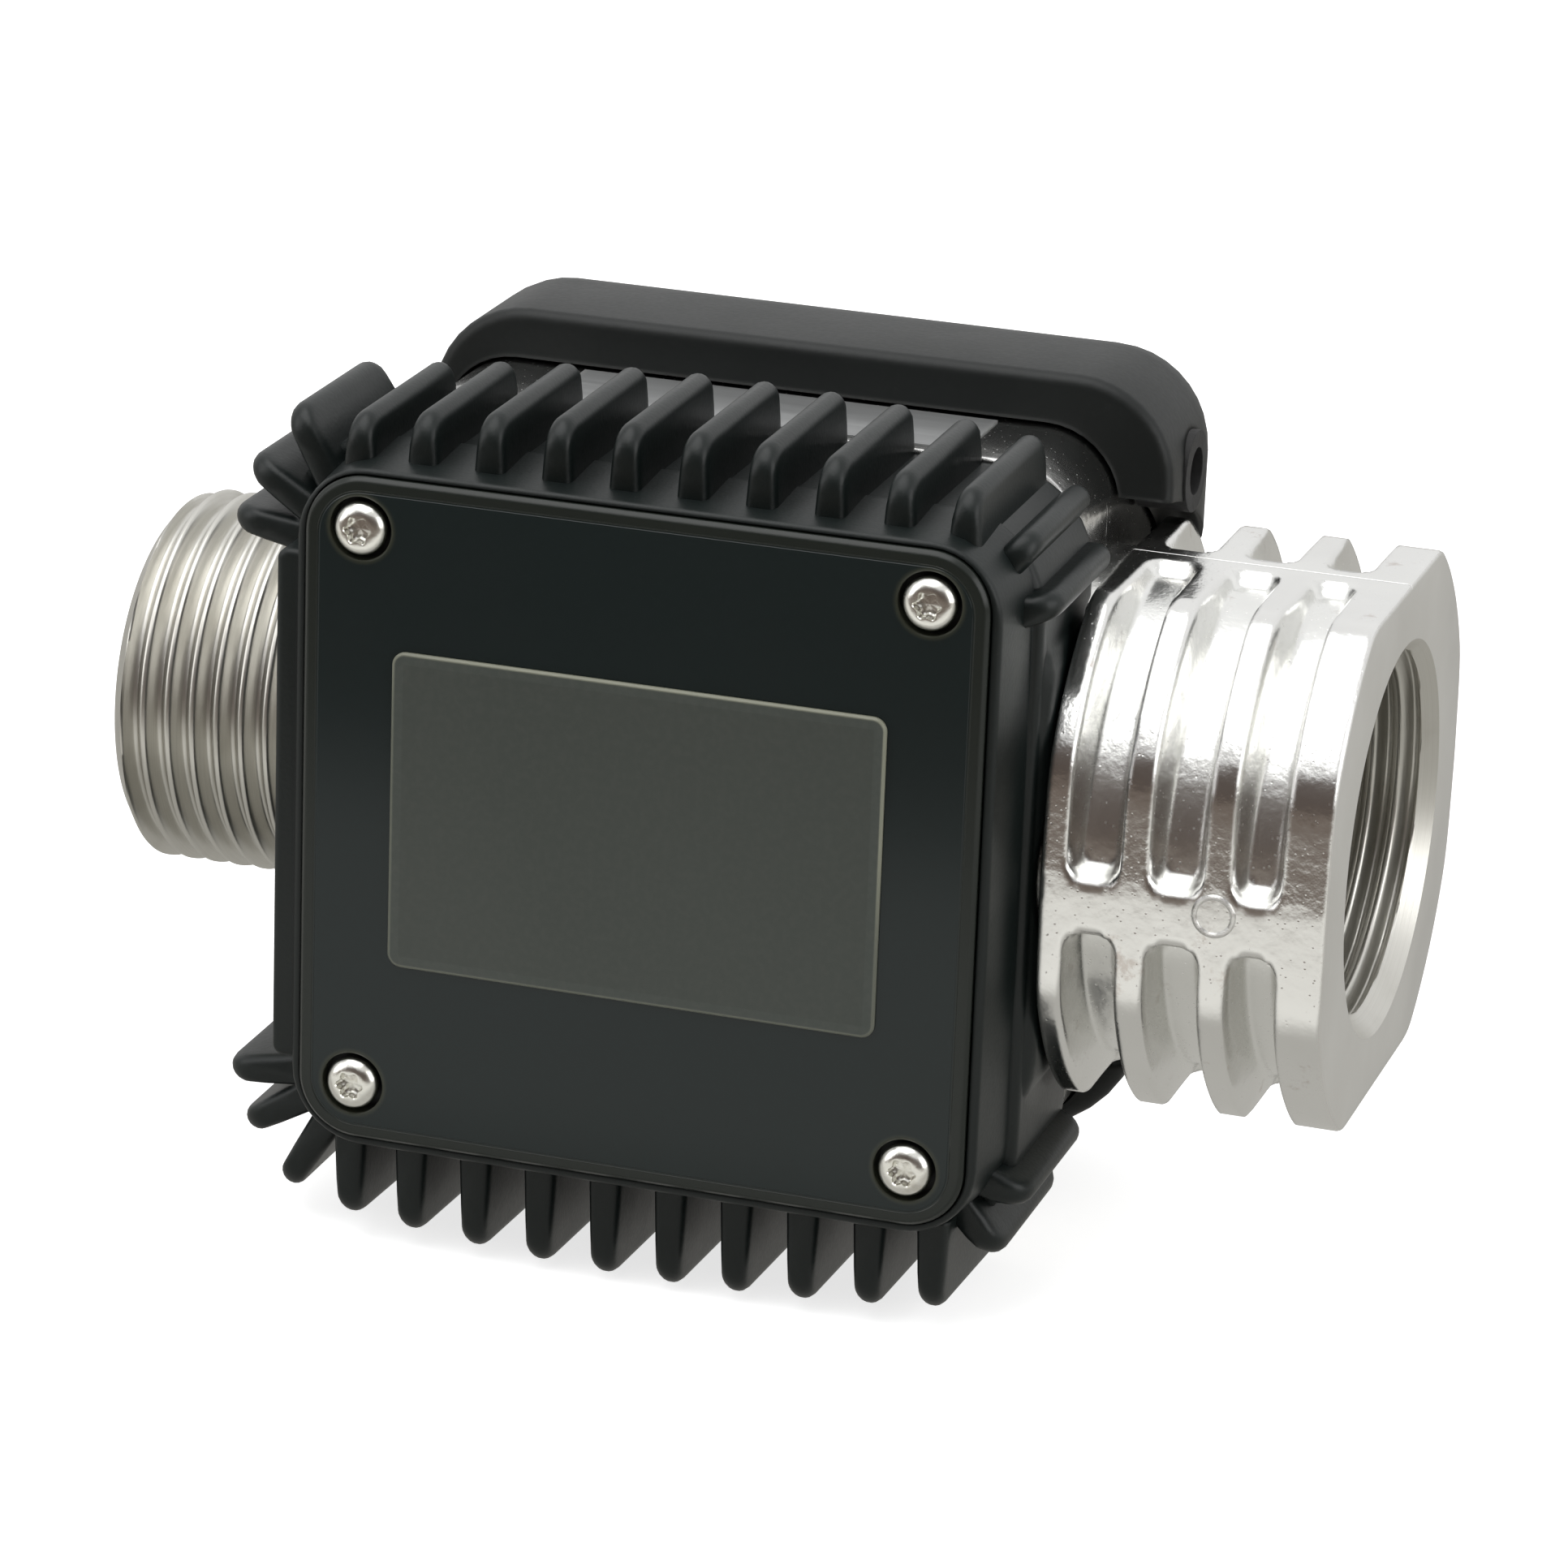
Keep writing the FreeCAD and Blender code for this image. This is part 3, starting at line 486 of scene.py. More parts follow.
def drum_radius(cosine, sine):
    """Outline of the port in one direction: drum, flats and soft corners between them."""
    flat = FLAT_FRONT if cosine < 0 else FLAT_REAR
    side = flat / max(abs(cosine), 1e-6)
    if sine > 0 or cosine > 0:
        leaning = (flat + DRAFT_START * DRAFT) / (abs(cosine) + abs(sine) * DRAFT)
        side = soft_least(side, leaning, 0.05)
    top = FLAT_Z / max(abs(sine), 1e-6)
    return soft_least(soft_least(DRUM_R, side, SOFT_CORNER), top, SOFT_CORNER)


def pocket_depth(along, cosine, sine):
    """0 on the ribs and webs, 1 on the floor of a pocket."""
    spans = [(low[1], high[0]) for low, high in zip(RIBS, RIBS[1:])]
    axial = max(min(along - start, end - along) for start, end in spans)
    y_here, z_here = cosine * WEB_R, sine * WEB_R
    centre, half = TOP_WEB if sine > 0 else BOTTOM_WEB
    round_about = min(abs(z_here - SIDE_WEB[0]) - SIDE_WEB[1], abs(y_here - centre) - half)
    gap_x, gap_y = max(POCKET_CORNER - axial, 0), max(POCKET_CORNER - round_about, 0)
    inside = ramp(POCKET_CORNER - math.hypot(gap_x, gap_y), 0.0, SLOPE)
    return inside * inside * (3 - 2 * inside)


def port_row(along, inset=0.0):
    """Loop round the port at one place."""
    row = []
    for j in range(PORT_ANGLES):
        angle = 2 * math.pi * j / PORT_ANGLES
        cosine, sine = math.cos(angle), math.sin(angle)
        full = drum_radius(cosine, sine) - inset
        first_rib = ramp(along, RIBS[0][0] - 0.25, RIBS[0][0] + 0.15)
        r = min(full, ROOT_R + (full - ROOT_R) * first_rib)
        r -= (full - FLOOR_R) * pocket_depth(along, cosine, sine)
        row.append((along, r * cosine, r * sine))
    return row


ROW_STEP = 0.2
row_count = int((FEMALE_END - 0.4 - PORT_START) / ROW_STEP)
port_rows = [port_row(PORT_START + ROW_STEP * i) for i in range(row_count + 1)]
port_rows += [port_row(FEMALE_END - before, inset) for before, inset in ((0.35, 0.0), (0.1, 0.10), (0.0, 0.35))]
port_rows.append(circle_x(FEMALE_END, MOUTH_R, PORT_ANGLES))
ribbed_port = settle(loop_shape("ribbed_port", port_rows, capped=False), cast_material, 50.0)
print("port faces:", len(ribbed_port.data.polygons))

# %% [markdown]
# ## Body without its plain ports
# The new skins need room, so the body shown is a copy of the solid with the plain ports taken
# off. Whole faces go, chosen by where all their corners lie, which leaves every other edge of
# the casting as it was made.

# %% Body skin with room for the ports


def on_plain_port(corners):
    """True for faces of the ports' outsides, ends and threads."""
    radii = [math.hypot(corner.y, corner.z) for corner in corners]
    low_x, high_x = min(c.x for c in corners), max(c.x for c in corners)
    male = high_x < NECK_X + 0.02 and min(radii) > MALE_CREST - CHAMFER - 0.03
    male_lip = high_x < MALE_END + 0.65
    port = low_x > PORT_START - 0.05 and high_x > PORT_START + 0.05 and min(radii) > MOUTH_R - 0.02
    thread = low_x > FEMALE_END - FEMALE_START - 0.02 and max(radii) < MOUTH_R + 0.02
    return male or male_lip or port or thread


shell = bmesh.new()
shell.from_mesh(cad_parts["meter_body"].data)
gone = [face for face in shell.faces if on_plain_port([corner.co / MM for corner in face.verts])]
bmesh.ops.delete(shell, geom=gone, context="FACES")
casting_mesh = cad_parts["meter_body"].data.copy()
shell.to_mesh(casting_mesh)
shell.free()
casting = bpy.data.objects.new("meter_body_casting", casting_mesh)
scene.collection.objects.link(casting)
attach(casting, "housing")
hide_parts("meter_body")
print("casting lost", len(gone), "faces")

# %% [markdown]
# ## Ejector mark
# A pin pushed the casting out of its mould and left a small round lip on the front web of the
# port. It is a thin ring, half sunk in the metal, so a loop of circles is all it takes.

# %% Ejector mark on the port
MARK_X, MARK_Y, MARK_Z = 47.9, -23.88, -0.3
MARK_R, LIP_R, LIP_HEIGHT = 1.65, 0.26, 0.6 * 0.26
MARK_STEPS, LIP_STEPS = 60, 12
mark_rows = []
for i in range(MARK_STEPS):
    around = 2 * math.pi * i / MARK_STEPS
    row = []
    for j in range(LIP_STEPS):
        tilt = 2 * math.pi * j / LIP_STEPS
        reach = MARK_R + LIP_R * math.cos(tilt)
        row.append((MARK_X + reach * math.cos(around), MARK_Y - LIP_HEIGHT * math.sin(tilt),
                    MARK_Z + reach * math.sin(around)))
    mark_rows.append(row)
mark = settle(loop_shape("ejector_mark", mark_rows, closed=True), cast_material, 80.0)
print("mark faces:", len(mark.data.polygons))

# %% [markdown]
# ## Black moulded plastic
# Both covers are filled nylon. The mould leaves a fine, even grain, and handling polishes the
# edges a little. Black shows mostly as highlights, so the roughness does the work, and a very
# faint swell keeps the large faces from looking like a sheet of paper.

# %% Cover finishes


def moulded_black(name, colour, rough, grain, soften):
    """Black moulding with a fine grain, a little polish and some grey dust."""
    skin = new_finish(name)
    fine = skin.noise(grain, 2.0)
    cloud = skin.noise(70.0, 4.0)
    swell = skin.noise(160.0, 2.0)
    dust = skin.noise(900.0, 6.0, 0.7).step(0.62, 0.80)
    tone = skin.blend(cloud, colour, tuple(c * 1.6 for c in colour))
    tone = skin.blend(dust * 0.25, tone, (0.035, 0.036, 0.034))
    return skin.surface(Base_Color=tone, Roughness=rough + 0.12 * (cloud - 0.5) + 0.08 * fine,
                        Specular_IOR_Level=0.34,
                        Normal=skin.bump(fine * 0.3 + swell, 0.05, skin.soft_edges(soften)))


front_black = moulded_black("finned_cover_black", (0.0044, 0.0070, 0.0066), 0.35, 2600.0, 0.5)
rear_black = moulded_black("rear_cover_black", (0.0045, 0.0058, 0.0055), 0.42, 2000.0, 0.7)
paint(front_black, "finned_cover")
paint(rear_black, "rear_cover")

# %% [markdown]
# ## Moulded blocks
# Both covers are rounded blocks that were drawn out of a mould along Y. A block is a stack of
# rounded rectangles, each a little smaller where an edge is rounded. Openings are cut with a
# Boolean, because both the block and its cutter are clean closed shapes.

# %% Rounded blocks and carving


def rounded_loop(low, high, corner, along, inset=0.0, steps=9):
    """Rounded rectangle across Y; low and high are (x, z), corner may be an (upper, lower) pair."""
    upper, lower = corner if isinstance(corner, tuple) else (corner, corner)
    row = []
    for quarter, (side_x, side_z) in enumerate([(1, 1), (-1, 1), (-1, -1), (1, -1)]):
        r = max((upper if side_z > 0 else lower) - inset, 0.05)
        centre_x = (high[0] - inset - r) if side_x > 0 else (low[0] + inset + r)
        centre_z = (high[1] - inset - r) if side_z > 0 else (low[1] + inset + r)
        for i in range(steps + 1):
            angle = math.radians(90 * (quarter + i / steps))
            row.append((centre_x + r * math.cos(angle), along, centre_z + r * math.sin(angle)))
    return row


def moulded_block(name, low, high, corner, front, rear, front_edge=0.0, rear_edge=0.0, draft=0.0):
    """Block between two places along Y with rounded rims; it grows by draft towards the rear."""
    stations = []
    for i in range(7 if front_edge else 1):
        turn = math.radians(15 * i) if front_edge else math.pi / 2
        stations.append((front + front_edge * (1 - math.cos(turn)), front_edge * (1 - math.sin(turn))))
    for i in range(9 if rear_edge else 1):
        turn = math.radians(11.25 * i) if rear_edge else 0.0
        stations.append((rear - rear_edge * (1 - math.sin(turn)), rear_edge * (1 - math.cos(turn))))
    rows = [rounded_loop(low, high, corner, along, inset - draft * (along - front) / (rear - front))
            for along, inset in stations]
    return loop_shape(name, rows)


def drum_along_x(name, r, start, end, y=0.0, z=0.0):
    """Round cutter along X."""
    rows = [[(along, y + py, z + pz) for _, py, pz in circle_x(along, r, 96)] for along in (start, end)]
    return loop_shape(name, rows)


def drum_along_y(name, r, start, end, x=0.0, z=0.0):
    """Round cutter along Y."""
    rows = [[(x + py, along, z + pz) for _, py, pz in circle_x(along, r, 48)] for along in (start, end)]
    return loop_shape(name, rows)


def carve(piece, *tools, operation="DIFFERENCE"):
    """Cuts tools out of a piece, or joins them to it, and removes the tools."""
    for tool in tools:
        cutter = piece.modifiers.new("carve", "BOOLEAN")
        cutter.operation, cutter.solver, cutter.object = operation, "EXACT", tool
        bpy.context.view_layer.update()
        shaped = piece.evaluated_get(bpy.context.evaluated_depsgraph_get())
        mesh = bpy.data.meshes.new_from_object(shaped)
        piece.modifiers.clear()
        piece.data = mesh
        bpy.data.objects.remove(tool)
    return piece


print("block helpers ready")

# %% [markdown]
# ## Shell of the front cover
# The shell is a base block with a raised frame for the plate, a rail on its left and a round
# boss over the port. Inside it is hollow for the circuit board, and it is open at the rear. The
# solid has the same shell with plainer edges, so this skin stands in for it.

# %% Front cover shell
COVER_LOW, COVER_HIGH = (-34.3, -32.4), (32.0, 31.2)
FRAME_LOW, FRAME_HIGH = (-30.6, -29.6), (30.6, 30.7)
FRAME_FRONT, BASE_FRONT, COVER_REAR = -31.0, -23.4, -8.4
RAIL_LOW, RAIL_HIGH, RAIL_FRONT = (-32.9, -23.0), (-29.7, 22.6), -29.9
BOSS_LOW, BOSS_HIGH, BOSS_FRONT = (22.0, -24.6), (32.8, 24.6), -22.9
SEAT_LOW, SEAT_HIGH, SEAT_Y = (-29.85, -28.85), (29.85, 30.35), -29.6
POCKET_LOW, POCKET_HIGH, CEILING_Y = (-28.5, -27.5), (28.5, 28.6), -20.9
CAVITY_LOW, CAVITY_HIGH = (-31.0, -30.4), (29.6, 29.3)
TUBE_ROOM_R, MALE_ROOM_R, PORT_ROOM_R = 19.8, 17.0, 22.4

cover = moulded_block("finned_cover_shell", COVER_LOW, COVER_HIGH, 8.0, BASE_FRONT, COVER_REAR, 0.9)
carve(cover,
      moulded_block("frame", FRAME_LOW, FRAME_HIGH, 6.4, FRAME_FRONT, BASE_FRONT + 1.0, 0.5, draft=0.7),
      moulded_block("rail", RAIL_LOW, RAIL_HIGH, 1.0, RAIL_FRONT, BASE_FRONT + 1.0, 0.5),
      moulded_block("port_boss", BOSS_LOW, BOSS_HIGH, 8.0, BOSS_FRONT, COVER_REAR - 0.1, 1.8),
      operation="UNION")
carve(cover,
      moulded_block("seat", SEAT_LOW, SEAT_HIGH, 5.3, FRAME_FRONT - 3.0, SEAT_Y),
      moulded_block("pocket", POCKET_LOW, POCKET_HIGH, 5.2, SEAT_Y + 2.4, CEILING_Y),
      moulded_block("cavity", CAVITY_LOW, CAVITY_HIGH, 6.0, CEILING_Y - 0.5, COVER_REAR + 1.4),
      drum_along_x("tube_room", TUBE_ROOM_R, -32.3, 31.0),
      drum_along_x("male_room", MALE_ROOM_R, -45.0, 0.0),
      drum_along_x("port_room", PORT_ROOM_R, 26.0, 36.0))
settle(cover, front_black, 32.0, "finned_cover")
print("cover shell faces:", len(cover.data.polygons))

# %% [markdown]
# ## Fins
# Ten fins stand along the top, ten along the bottom, and small fans of them turn round the
# corners. Every fin is the same moulding: a tapered bar with a round tip, whose front drops away
# in a quarter circle. Only its root, its tip and its length differ, so one function makes all.

# %% Fins of the front cover
FIN_COUNT, FIN_PITCH, FIN_FRONT, FAN_FRONT, FIN_REAR = 10, 5.92, -28.3, -25.8, -8.3
TOP_TIP, BOTTOM_TIP, CROWN, CROWN_REACH = 36.25, -39.6, 1.78, 26.0
TOP_ROOT, BOTTOM_ROOT = 30.2, -31.4
FAN_PIVOT_Z, FAN_ROOT = 23.3, 6.2
FANS = [(-26.3, -1.8, [(-33.5, 35.3), (-37.4, 30.2), (-39.0, 25.2)]),
        (24.0, -1.3, [(31.4, 31.6), (33.8, 26.2)])]


def fin_rows(root, tip, front, rear, thick=2.5, sink=0.8, fall=0.0, nose=2.5, heel=1.5):
    """Loops along Y for one fin between a root and a tip, both (x, z)."""
    up = Vector((tip[0] - root[0], tip[1] - root[1]))
    tall = up.length
    up.normalize()
    across = Vector((up.y, -up.x))
    places = [front + nose * share for share in (0, 0.03, 0.1, 0.2, 0.35, 0.5, 0.7, 1.0)]
    places += [rear - heel * share for share in (1.0, 0.6, 0.3, 0.1, 0.0)]
    rows = []
    for along in places:
        from_front, from_rear = along - front, rear - along
        drop = sum(edge - math.sqrt(edge * edge - (edge - gap) ** 2)
                   for edge, gap in ((nose, from_front), (heel, from_rear)) if gap < edge)
        front_slim = 0.30 * (1 - ramp(from_front, 0.0, 0.75)) ** 2
        rear_slim = 0.15 * (1 - ramp(from_rear, 0.0, 0.5)) ** 2
        slim = 1 - front_slim - rear_slim
        high = tall + fall * (along - front) / (rear - front) - drop
        base, top = (thick / 2 + 0.22) * slim, (thick / 2 - 0.15) * slim
        waist = base * 0.35 + top * 0.65
        round_tip = [(top * math.cos(math.radians(a)), high - top + top * math.sin(math.radians(a)))
                     for a in range(0, 181, 20)]
        section = [(-base, -sink), (base, -sink), (waist, high * 0.55), *round_tip, (-waist, high * 0.55)]
        rows.append([(root[0] + across.x * side + up.x * rise, along,
                      root[1] + across.y * side + up.y * rise) for side, rise in section])
    return rows


def join_shapes(name, shapes):
    """One object from many."""
    joined = bmesh.new()
    for shape in shapes:
        joined.from_mesh(shape.data)
        bpy.data.objects.remove(shape)
    return bmesh_piece(name, joined)


row_fins = []
for i in range(FIN_COUNT):
    fin_x = (i - (FIN_COUNT - 1) / 2) * FIN_PITCH
    if i in (0, FIN_COUNT - 1):
        fin_x -= math.copysign(0.3, fin_x)
    crown = CROWN * (fin_x / CROWN_REACH) ** 2
    top_rows = fin_rows((fin_x, TOP_ROOT), (fin_x, TOP_TIP - crown), FIN_FRONT, FIN_REAR)
    bottom_rows = fin_rows((fin_x, BOTTOM_ROOT), (fin_x, BOTTOM_TIP + crown), FIN_FRONT, FIN_REAR,
                           sink=2.0, fall=1.0)
    row_fins += [loop_shape("fin", top_rows), loop_shape("fin", bottom_rows)]
settle(join_shapes("cover_row_fins", row_fins), front_black, 40.0)

fan_fins = []
for pivot_x, middle, tips in FANS:
    for tip_x, tip_z in tips:
        for side in (1, -1):
            pivot = Vector((pivot_x, middle + side * FAN_PIVOT_Z))
            tip = Vector((tip_x, middle + side * tip_z))
            root = pivot + (tip - pivot).normalized() * FAN_ROOT
            fan_rows = fin_rows(root, tip, FAN_FRONT, FIN_REAR, thick=2.6, sink=2.0)
            fan_fins.append(loop_shape("fin", fan_rows))
settle(join_shapes("cover_corner_fins", fan_fins), front_black, 40.0)
print("fins:", len(row_fins) + len(fan_fins))

# %% [markdown]
# ## Rear cover
# The lid is a deep rounded block with a wide fillet round its back. It sits over the body, with
# round cut-outs for both ports, four deep screw holes and the hole of the cable inlet.

# %% Rear lid
REAR_LOW, REAR_HIGH, REAR_CORNERS = (-32.0, -33.3), (35.4, 36.1), (8.8, 12.0)
LID_FRONT, LID_BACK, LID_RIM, LID_FILLET = 3.6, 22.6, 1.0, 7.5
ROOM_LOW, ROOM_HIGH, ROOM_BACK = (-30.9, -32.2), (30.9, 31.8), 19.8
REAR_HEAD_R, HEAD_ROOM_R = 2.4, 2.9


def screw_centres(low, high, head):
    """The four places of a set of screws, from the box round their heads."""
    return [(sx, sz) for sx in (low.x + head, high.x - head) for sz in (low.z + head, high.z - head)]


rear_low, rear_high = [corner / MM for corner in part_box("rear_screws")]
gland_low, gland_high = [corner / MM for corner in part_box("cable_gland")]
gland_middle, gland_r = (gland_low + gland_high) / 2, (gland_high.z - gland_low.z) / 2
lid = moulded_block("rear_lid", REAR_LOW, REAR_HIGH, REAR_CORNERS, LID_FRONT, LID_BACK, LID_RIM, LID_FILLET)
carve(lid,
      moulded_block("body_room", ROOM_LOW, ROOM_HIGH, 6.8, LID_FRONT - 1.6, ROOM_BACK),
      drum_along_x("port_room", 26.2, 30.6, 60.0), drum_along_x("male_room", 17.6, -60.0, -30.6),
      drum_along_x("inlet_room", gland_r + 0.02, 30.0, 40.0, gland_middle.y, gland_middle.z),
      *[drum_along_y("head_room", HEAD_ROOM_R, rear_high.y - 1.5, 30.0, sx, sz)
        for sx, sz in screw_centres(rear_low, rear_high, REAR_HEAD_R)])
settle(lid, rear_black, 32.0, "rear_cover")
print("lid faces:", len(lid.data.polygons))

# %% [markdown]
# ## The glossy front plate
# The plate is printed on its back, so it looks deep: nearly black with a trace of blue-green,
# under a smooth, shiny face. Along its rim the clear material shows as a thin olive line, and
# so does the rim of each screw hole. Distances to a rounded outline are simple maths, so the
# lines need no extra mesh.

# %% Front plate
plate_low, plate_high = [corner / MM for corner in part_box("front_window")]
screw_low, screw_high = [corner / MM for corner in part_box("cover_screws")]
HEAD_R = 2.3
PLATE_CORNER = 5.2


def outline_distance(across, up, low, high, corner):
    """Millimetres outside a rounded rectangle; below zero inside it."""
    half_x, half_z = (high.x - low.x) / 2 - corner, (high.z - low.z) / 2 - corner
    side = (abs(across - (high.x + low.x) / 2) - half_x).most(0.0)
    top = (abs(up - (high.z + low.z) / 2) - half_z).most(0.0)
    return (side * side + top * top) ** 0.5 - corner


plate = new_finish("front_plate_gloss")
x, _, z = plate.place()
edge = outline_distance(x, z, plate_low, plate_high, PLATE_CORNER)
rim = edge.step(-1.35, -1.15)
scribe = edge.line(-1.25, 0.05, 0.10)
shade = (z * 0.7 - x * 0.5).step(-30.0, 34.0)
smear = plate.noise(45.0, 5.0, 0.6)
deep = plate.blend(shade, (0.0092, 0.0150, 0.0148), (0.0088, 0.0150, 0.0152))
deep = plate.blend(smear.step(0.40, 0.80) * 0.35, deep, (0.0105, 0.0150, 0.0150))
deep = plate.blend(rim * 0.6, deep, (0.016, 0.018, 0.013))
for centre_x, centre_z in screw_centres(screw_low, screw_high, HEAD_R):
    away = ((x - centre_x) ** 2 + (z - centre_z) ** 2) ** 0.5
    deep = plate.blend(away.step(3.25, 2.75) * 0.7, deep, (0.050, 0.052, 0.034))
plate_material = plate.surface(Base_Color=deep, Roughness=0.10 + 0.10 * smear + 0.08 * rim,
                               Specular_IOR_Level=0.33,
                               Normal=plate.bump(scribe * -1.0, 0.06, plate.soft_edges(0.35)))
paint(plate_material, "front_window")
print("plate is", round(plate_high.x - plate_low.x, 1), "mm wide")

# %% [markdown]
# ## The bare rating label
# The label stands a little proud of the plate. It is left bare here: an olive grey film under a
# clear face. Its bevel is painted lighter, most along its top and its right edge: a painted
# highlight where the bevel catches light. Three rounded loops make its raised edge.

# %% Rating label
LABEL_CORNER, LABEL_PROUD, LABEL_BEVEL = 1.2, 0.35, 0.16
label_low, label_high = [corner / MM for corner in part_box("rating_label")]
label = new_finish("bare_label_film")
x, _, z = label.place()
edge = outline_distance(x, z, label_low, label_high, LABEL_CORNER)
painted_bevel_highlight = edge.step(-0.34, -0.16)
painted_highlight_side = (x * 0.35 + z).step(2.0, 12.0)
weave = label.noise(1500.0, 2.0)
glow = label.noise(35.0, 3.0)
film = label.blend(glow, (0.044, 0.054, 0.046), (0.062, 0.070, 0.061))
film = label.blend(weave.step(0.35, 0.75) * 0.25, film, (0.085, 0.090, 0.078))
film = label.blend(edge.line(-1.2, 0.12, 0.12) * 0.25, film, (0.032, 0.036, 0.030))
# painted highlight: the bevel is lightened all round, and most towards the top and the right, where light falls
# on it
film = label.blend(painted_bevel_highlight * (0.35 + 0.55 * painted_highlight_side), film, (0.26, 0.265, 0.20))
label_material = label.surface(Base_Color=film, Roughness=0.30 + 0.08 * weave, Specular_IOR_Level=0.4,
                               Normal=label.bump(weave * 0.4, 0.02))
label_rows = [rounded_loop((label_low.x, label_low.z), (label_high.x, label_high.z), LABEL_CORNER,
                           plate_low.y - rise, inset)
              for rise, inset in ((-0.02, 0.0), (0.20, 0.0), (LABEL_PROUD, LABEL_BEVEL))]
settle(loop_shape("raised_rating_label", label_rows), label_material, 20.0, "rating_label")
print("label is", round(label_high.x - label_low.x, 1), "by", round(label_high.z - label_low.z, 1), "mm")

# %% [markdown]
# ## Pan head screws with six-lobe sockets
# The heads are cold-formed and zinc plated: a low dome, a rolled edge and a socket of six round
# lobes. The socket is what the eye looks for, so the solid's plain heads are replaced by skins
# of loops whose inner loops follow the lobes.

# %% Zinc finish and screw heads
zinc = new_finish("bright_zinc")
dull = zinc.noise(900.0, 5.0, 0.6)
streak = zinc.noise(500.0, 3.0)
coat = zinc.blend(dull, (0.70, 0.69, 0.64), (0.92, 0.92, 0.88))
coat = zinc.blend(streak.step(0.55, 0.75) * 0.4, coat, (0.46, 0.42, 0.33))
zinc_material = zinc.surface(Base_Color=coat, Metallic=1.0, Roughness=0.16 + 0.16 * dull,
                             Normal=zinc.bump(dull, 0.03))


def lobes(angle):
    """Radius of the socket as a share of its mean radius."""
    return 1.0 + 0.13 * math.cos(6 * angle)


def screw_rows(centre_x, centre_z, seat_y, top_y, tip_y, head_r, shank_r=1.5, angles=96):
    """Loops from the floor of the socket over the head and down the shank."""
    high = abs(top_y - seat_y)
    out = -1.0 if top_y < seat_y else 1.0
    socket = 0.46 * head_r
    deep = abs(tip_y - seat_y)
    section = [(0.05, 0.42 * high, True), (0.80 * socket, 0.36 * high, True),
               (0.95 * socket, 0.42 * high, True), (socket, 0.90 * high, True),
               (1.07 * socket, 0.965 * high, True)]
    dome = [(0.60, 0.97), (0.74, 0.89), (0.86, 0.77), (0.95, 0.60), (1.0, 0.40), (1.0, 0.14), (0.95, 0.0)]
    section += [(share * head_r, rise * high, False) for share, rise in dome]
    section += [(shank_r, 0.0, False), (shank_r, 0.8 - deep, False), (0.4 * shank_r, -deep, False)]
    rows = []
    for r, height, lobed in section:
        row = []
        for j in range(angles):
            angle = 2 * math.pi * j / angles
            reach = r * (lobes(angle) if lobed else 1.0)
            row.append((centre_x + reach * math.cos(angle), seat_y + out * height,
                        centre_z + reach * math.sin(angle)))
        rows.append(row)
    return rows


def screw_set(node, prefix, seat_y, top_y, tip_y, head_r):
    """Four screws that stand for a CAD node."""
    low, high = [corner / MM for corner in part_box(node)]
    for i, (sx, sz) in enumerate(screw_centres(low, high, head_r)):
        rows = screw_rows(sx, sz, seat_y, top_y, tip_y, head_r)
        settle(loop_shape("%s_%d" % (prefix, i + 1), rows), zinc_material, 28.0, node)
    print(node, "replaced by four screws with heads", round(2 * head_r, 1), "mm wide")


SEAT_SINK, HEAD_PROUD, REAR_HEAD_HIGH = 0.7, 0.9, 1.5
screw_set("cover_screws", "cover_screw", plate_low.y + SEAT_SINK, plate_low.y - HEAD_PROUD, screw_high.y,
          HEAD_R)
screw_set("rear_screws", "rear_screw", rear_high.y - REAR_HEAD_HIGH, rear_high.y, rear_low.y, REAR_HEAD_R)

# %% [markdown]
# ## Small parts with finishes of their own
# Most of these are hidden until the meter is opened, but each still gets what its real material
# shows: flow clouds in mouldings, tool lines on turned brass and steel, copper under the solder
# mask. Three short recipes cover them, so that only the colours and scales differ.

# %% Recipes for mouldings, rubber and turned metal


def moulding(name, colour, shade, rough, grain=1200.0):
    """Moulded resin: clouds of two tones and a fine mould grain."""
    skin = new_finish(name)
    cloud = skin.noise(120.0, 4.0)
    fine = skin.noise(grain, 2.0)
    tone = skin.blend(cloud.step(0.3, 0.7), shade, colour)
    return skin.surface(Base_Color=tone, Roughness=rough + 0.10 * fine - 0.05 * cloud,
                        Normal=skin.bump(fine * 0.6 + cloud, 0.03, skin.soft_edges(0.12)))


def rubber(name, colour):
    """Matte rubber with a dusty bloom."""
    skin = new_finish(name)
    bloom = skin.noise(260.0, 5.0, 0.65)
    fine = skin.noise(2200.0, 2.0)
    tone = skin.blend(bloom.step(0.45, 0.8), colour, tuple(c * 2.4 for c in colour))
    return skin.surface(Base_Color=tone, Roughness=0.62 + 0.18 * fine,
                        Normal=skin.bump(fine, 0.03, skin.soft_edges(0.15)))


def lathe_metal(name, colour, shade, rough, along="x"):
    """Turned or ground metal with uneven fine lines across one direction."""
    skin = new_finish(name)
    spot = dict(zip("xyz", skin.place()))
    lines = skin.rings(spot[along], 14.0)
    wear = skin.noise(300.0, 4.0)
    tone = skin.blend(lines * 0.6 + wear * 0.4, shade, colour)
    return skin.surface(Base_Color=tone, Metallic=1.0, Roughness=rough + 0.12 * lines,
                        Normal=skin.bump(lines, 0.006, skin.soft_edges(0.08)))


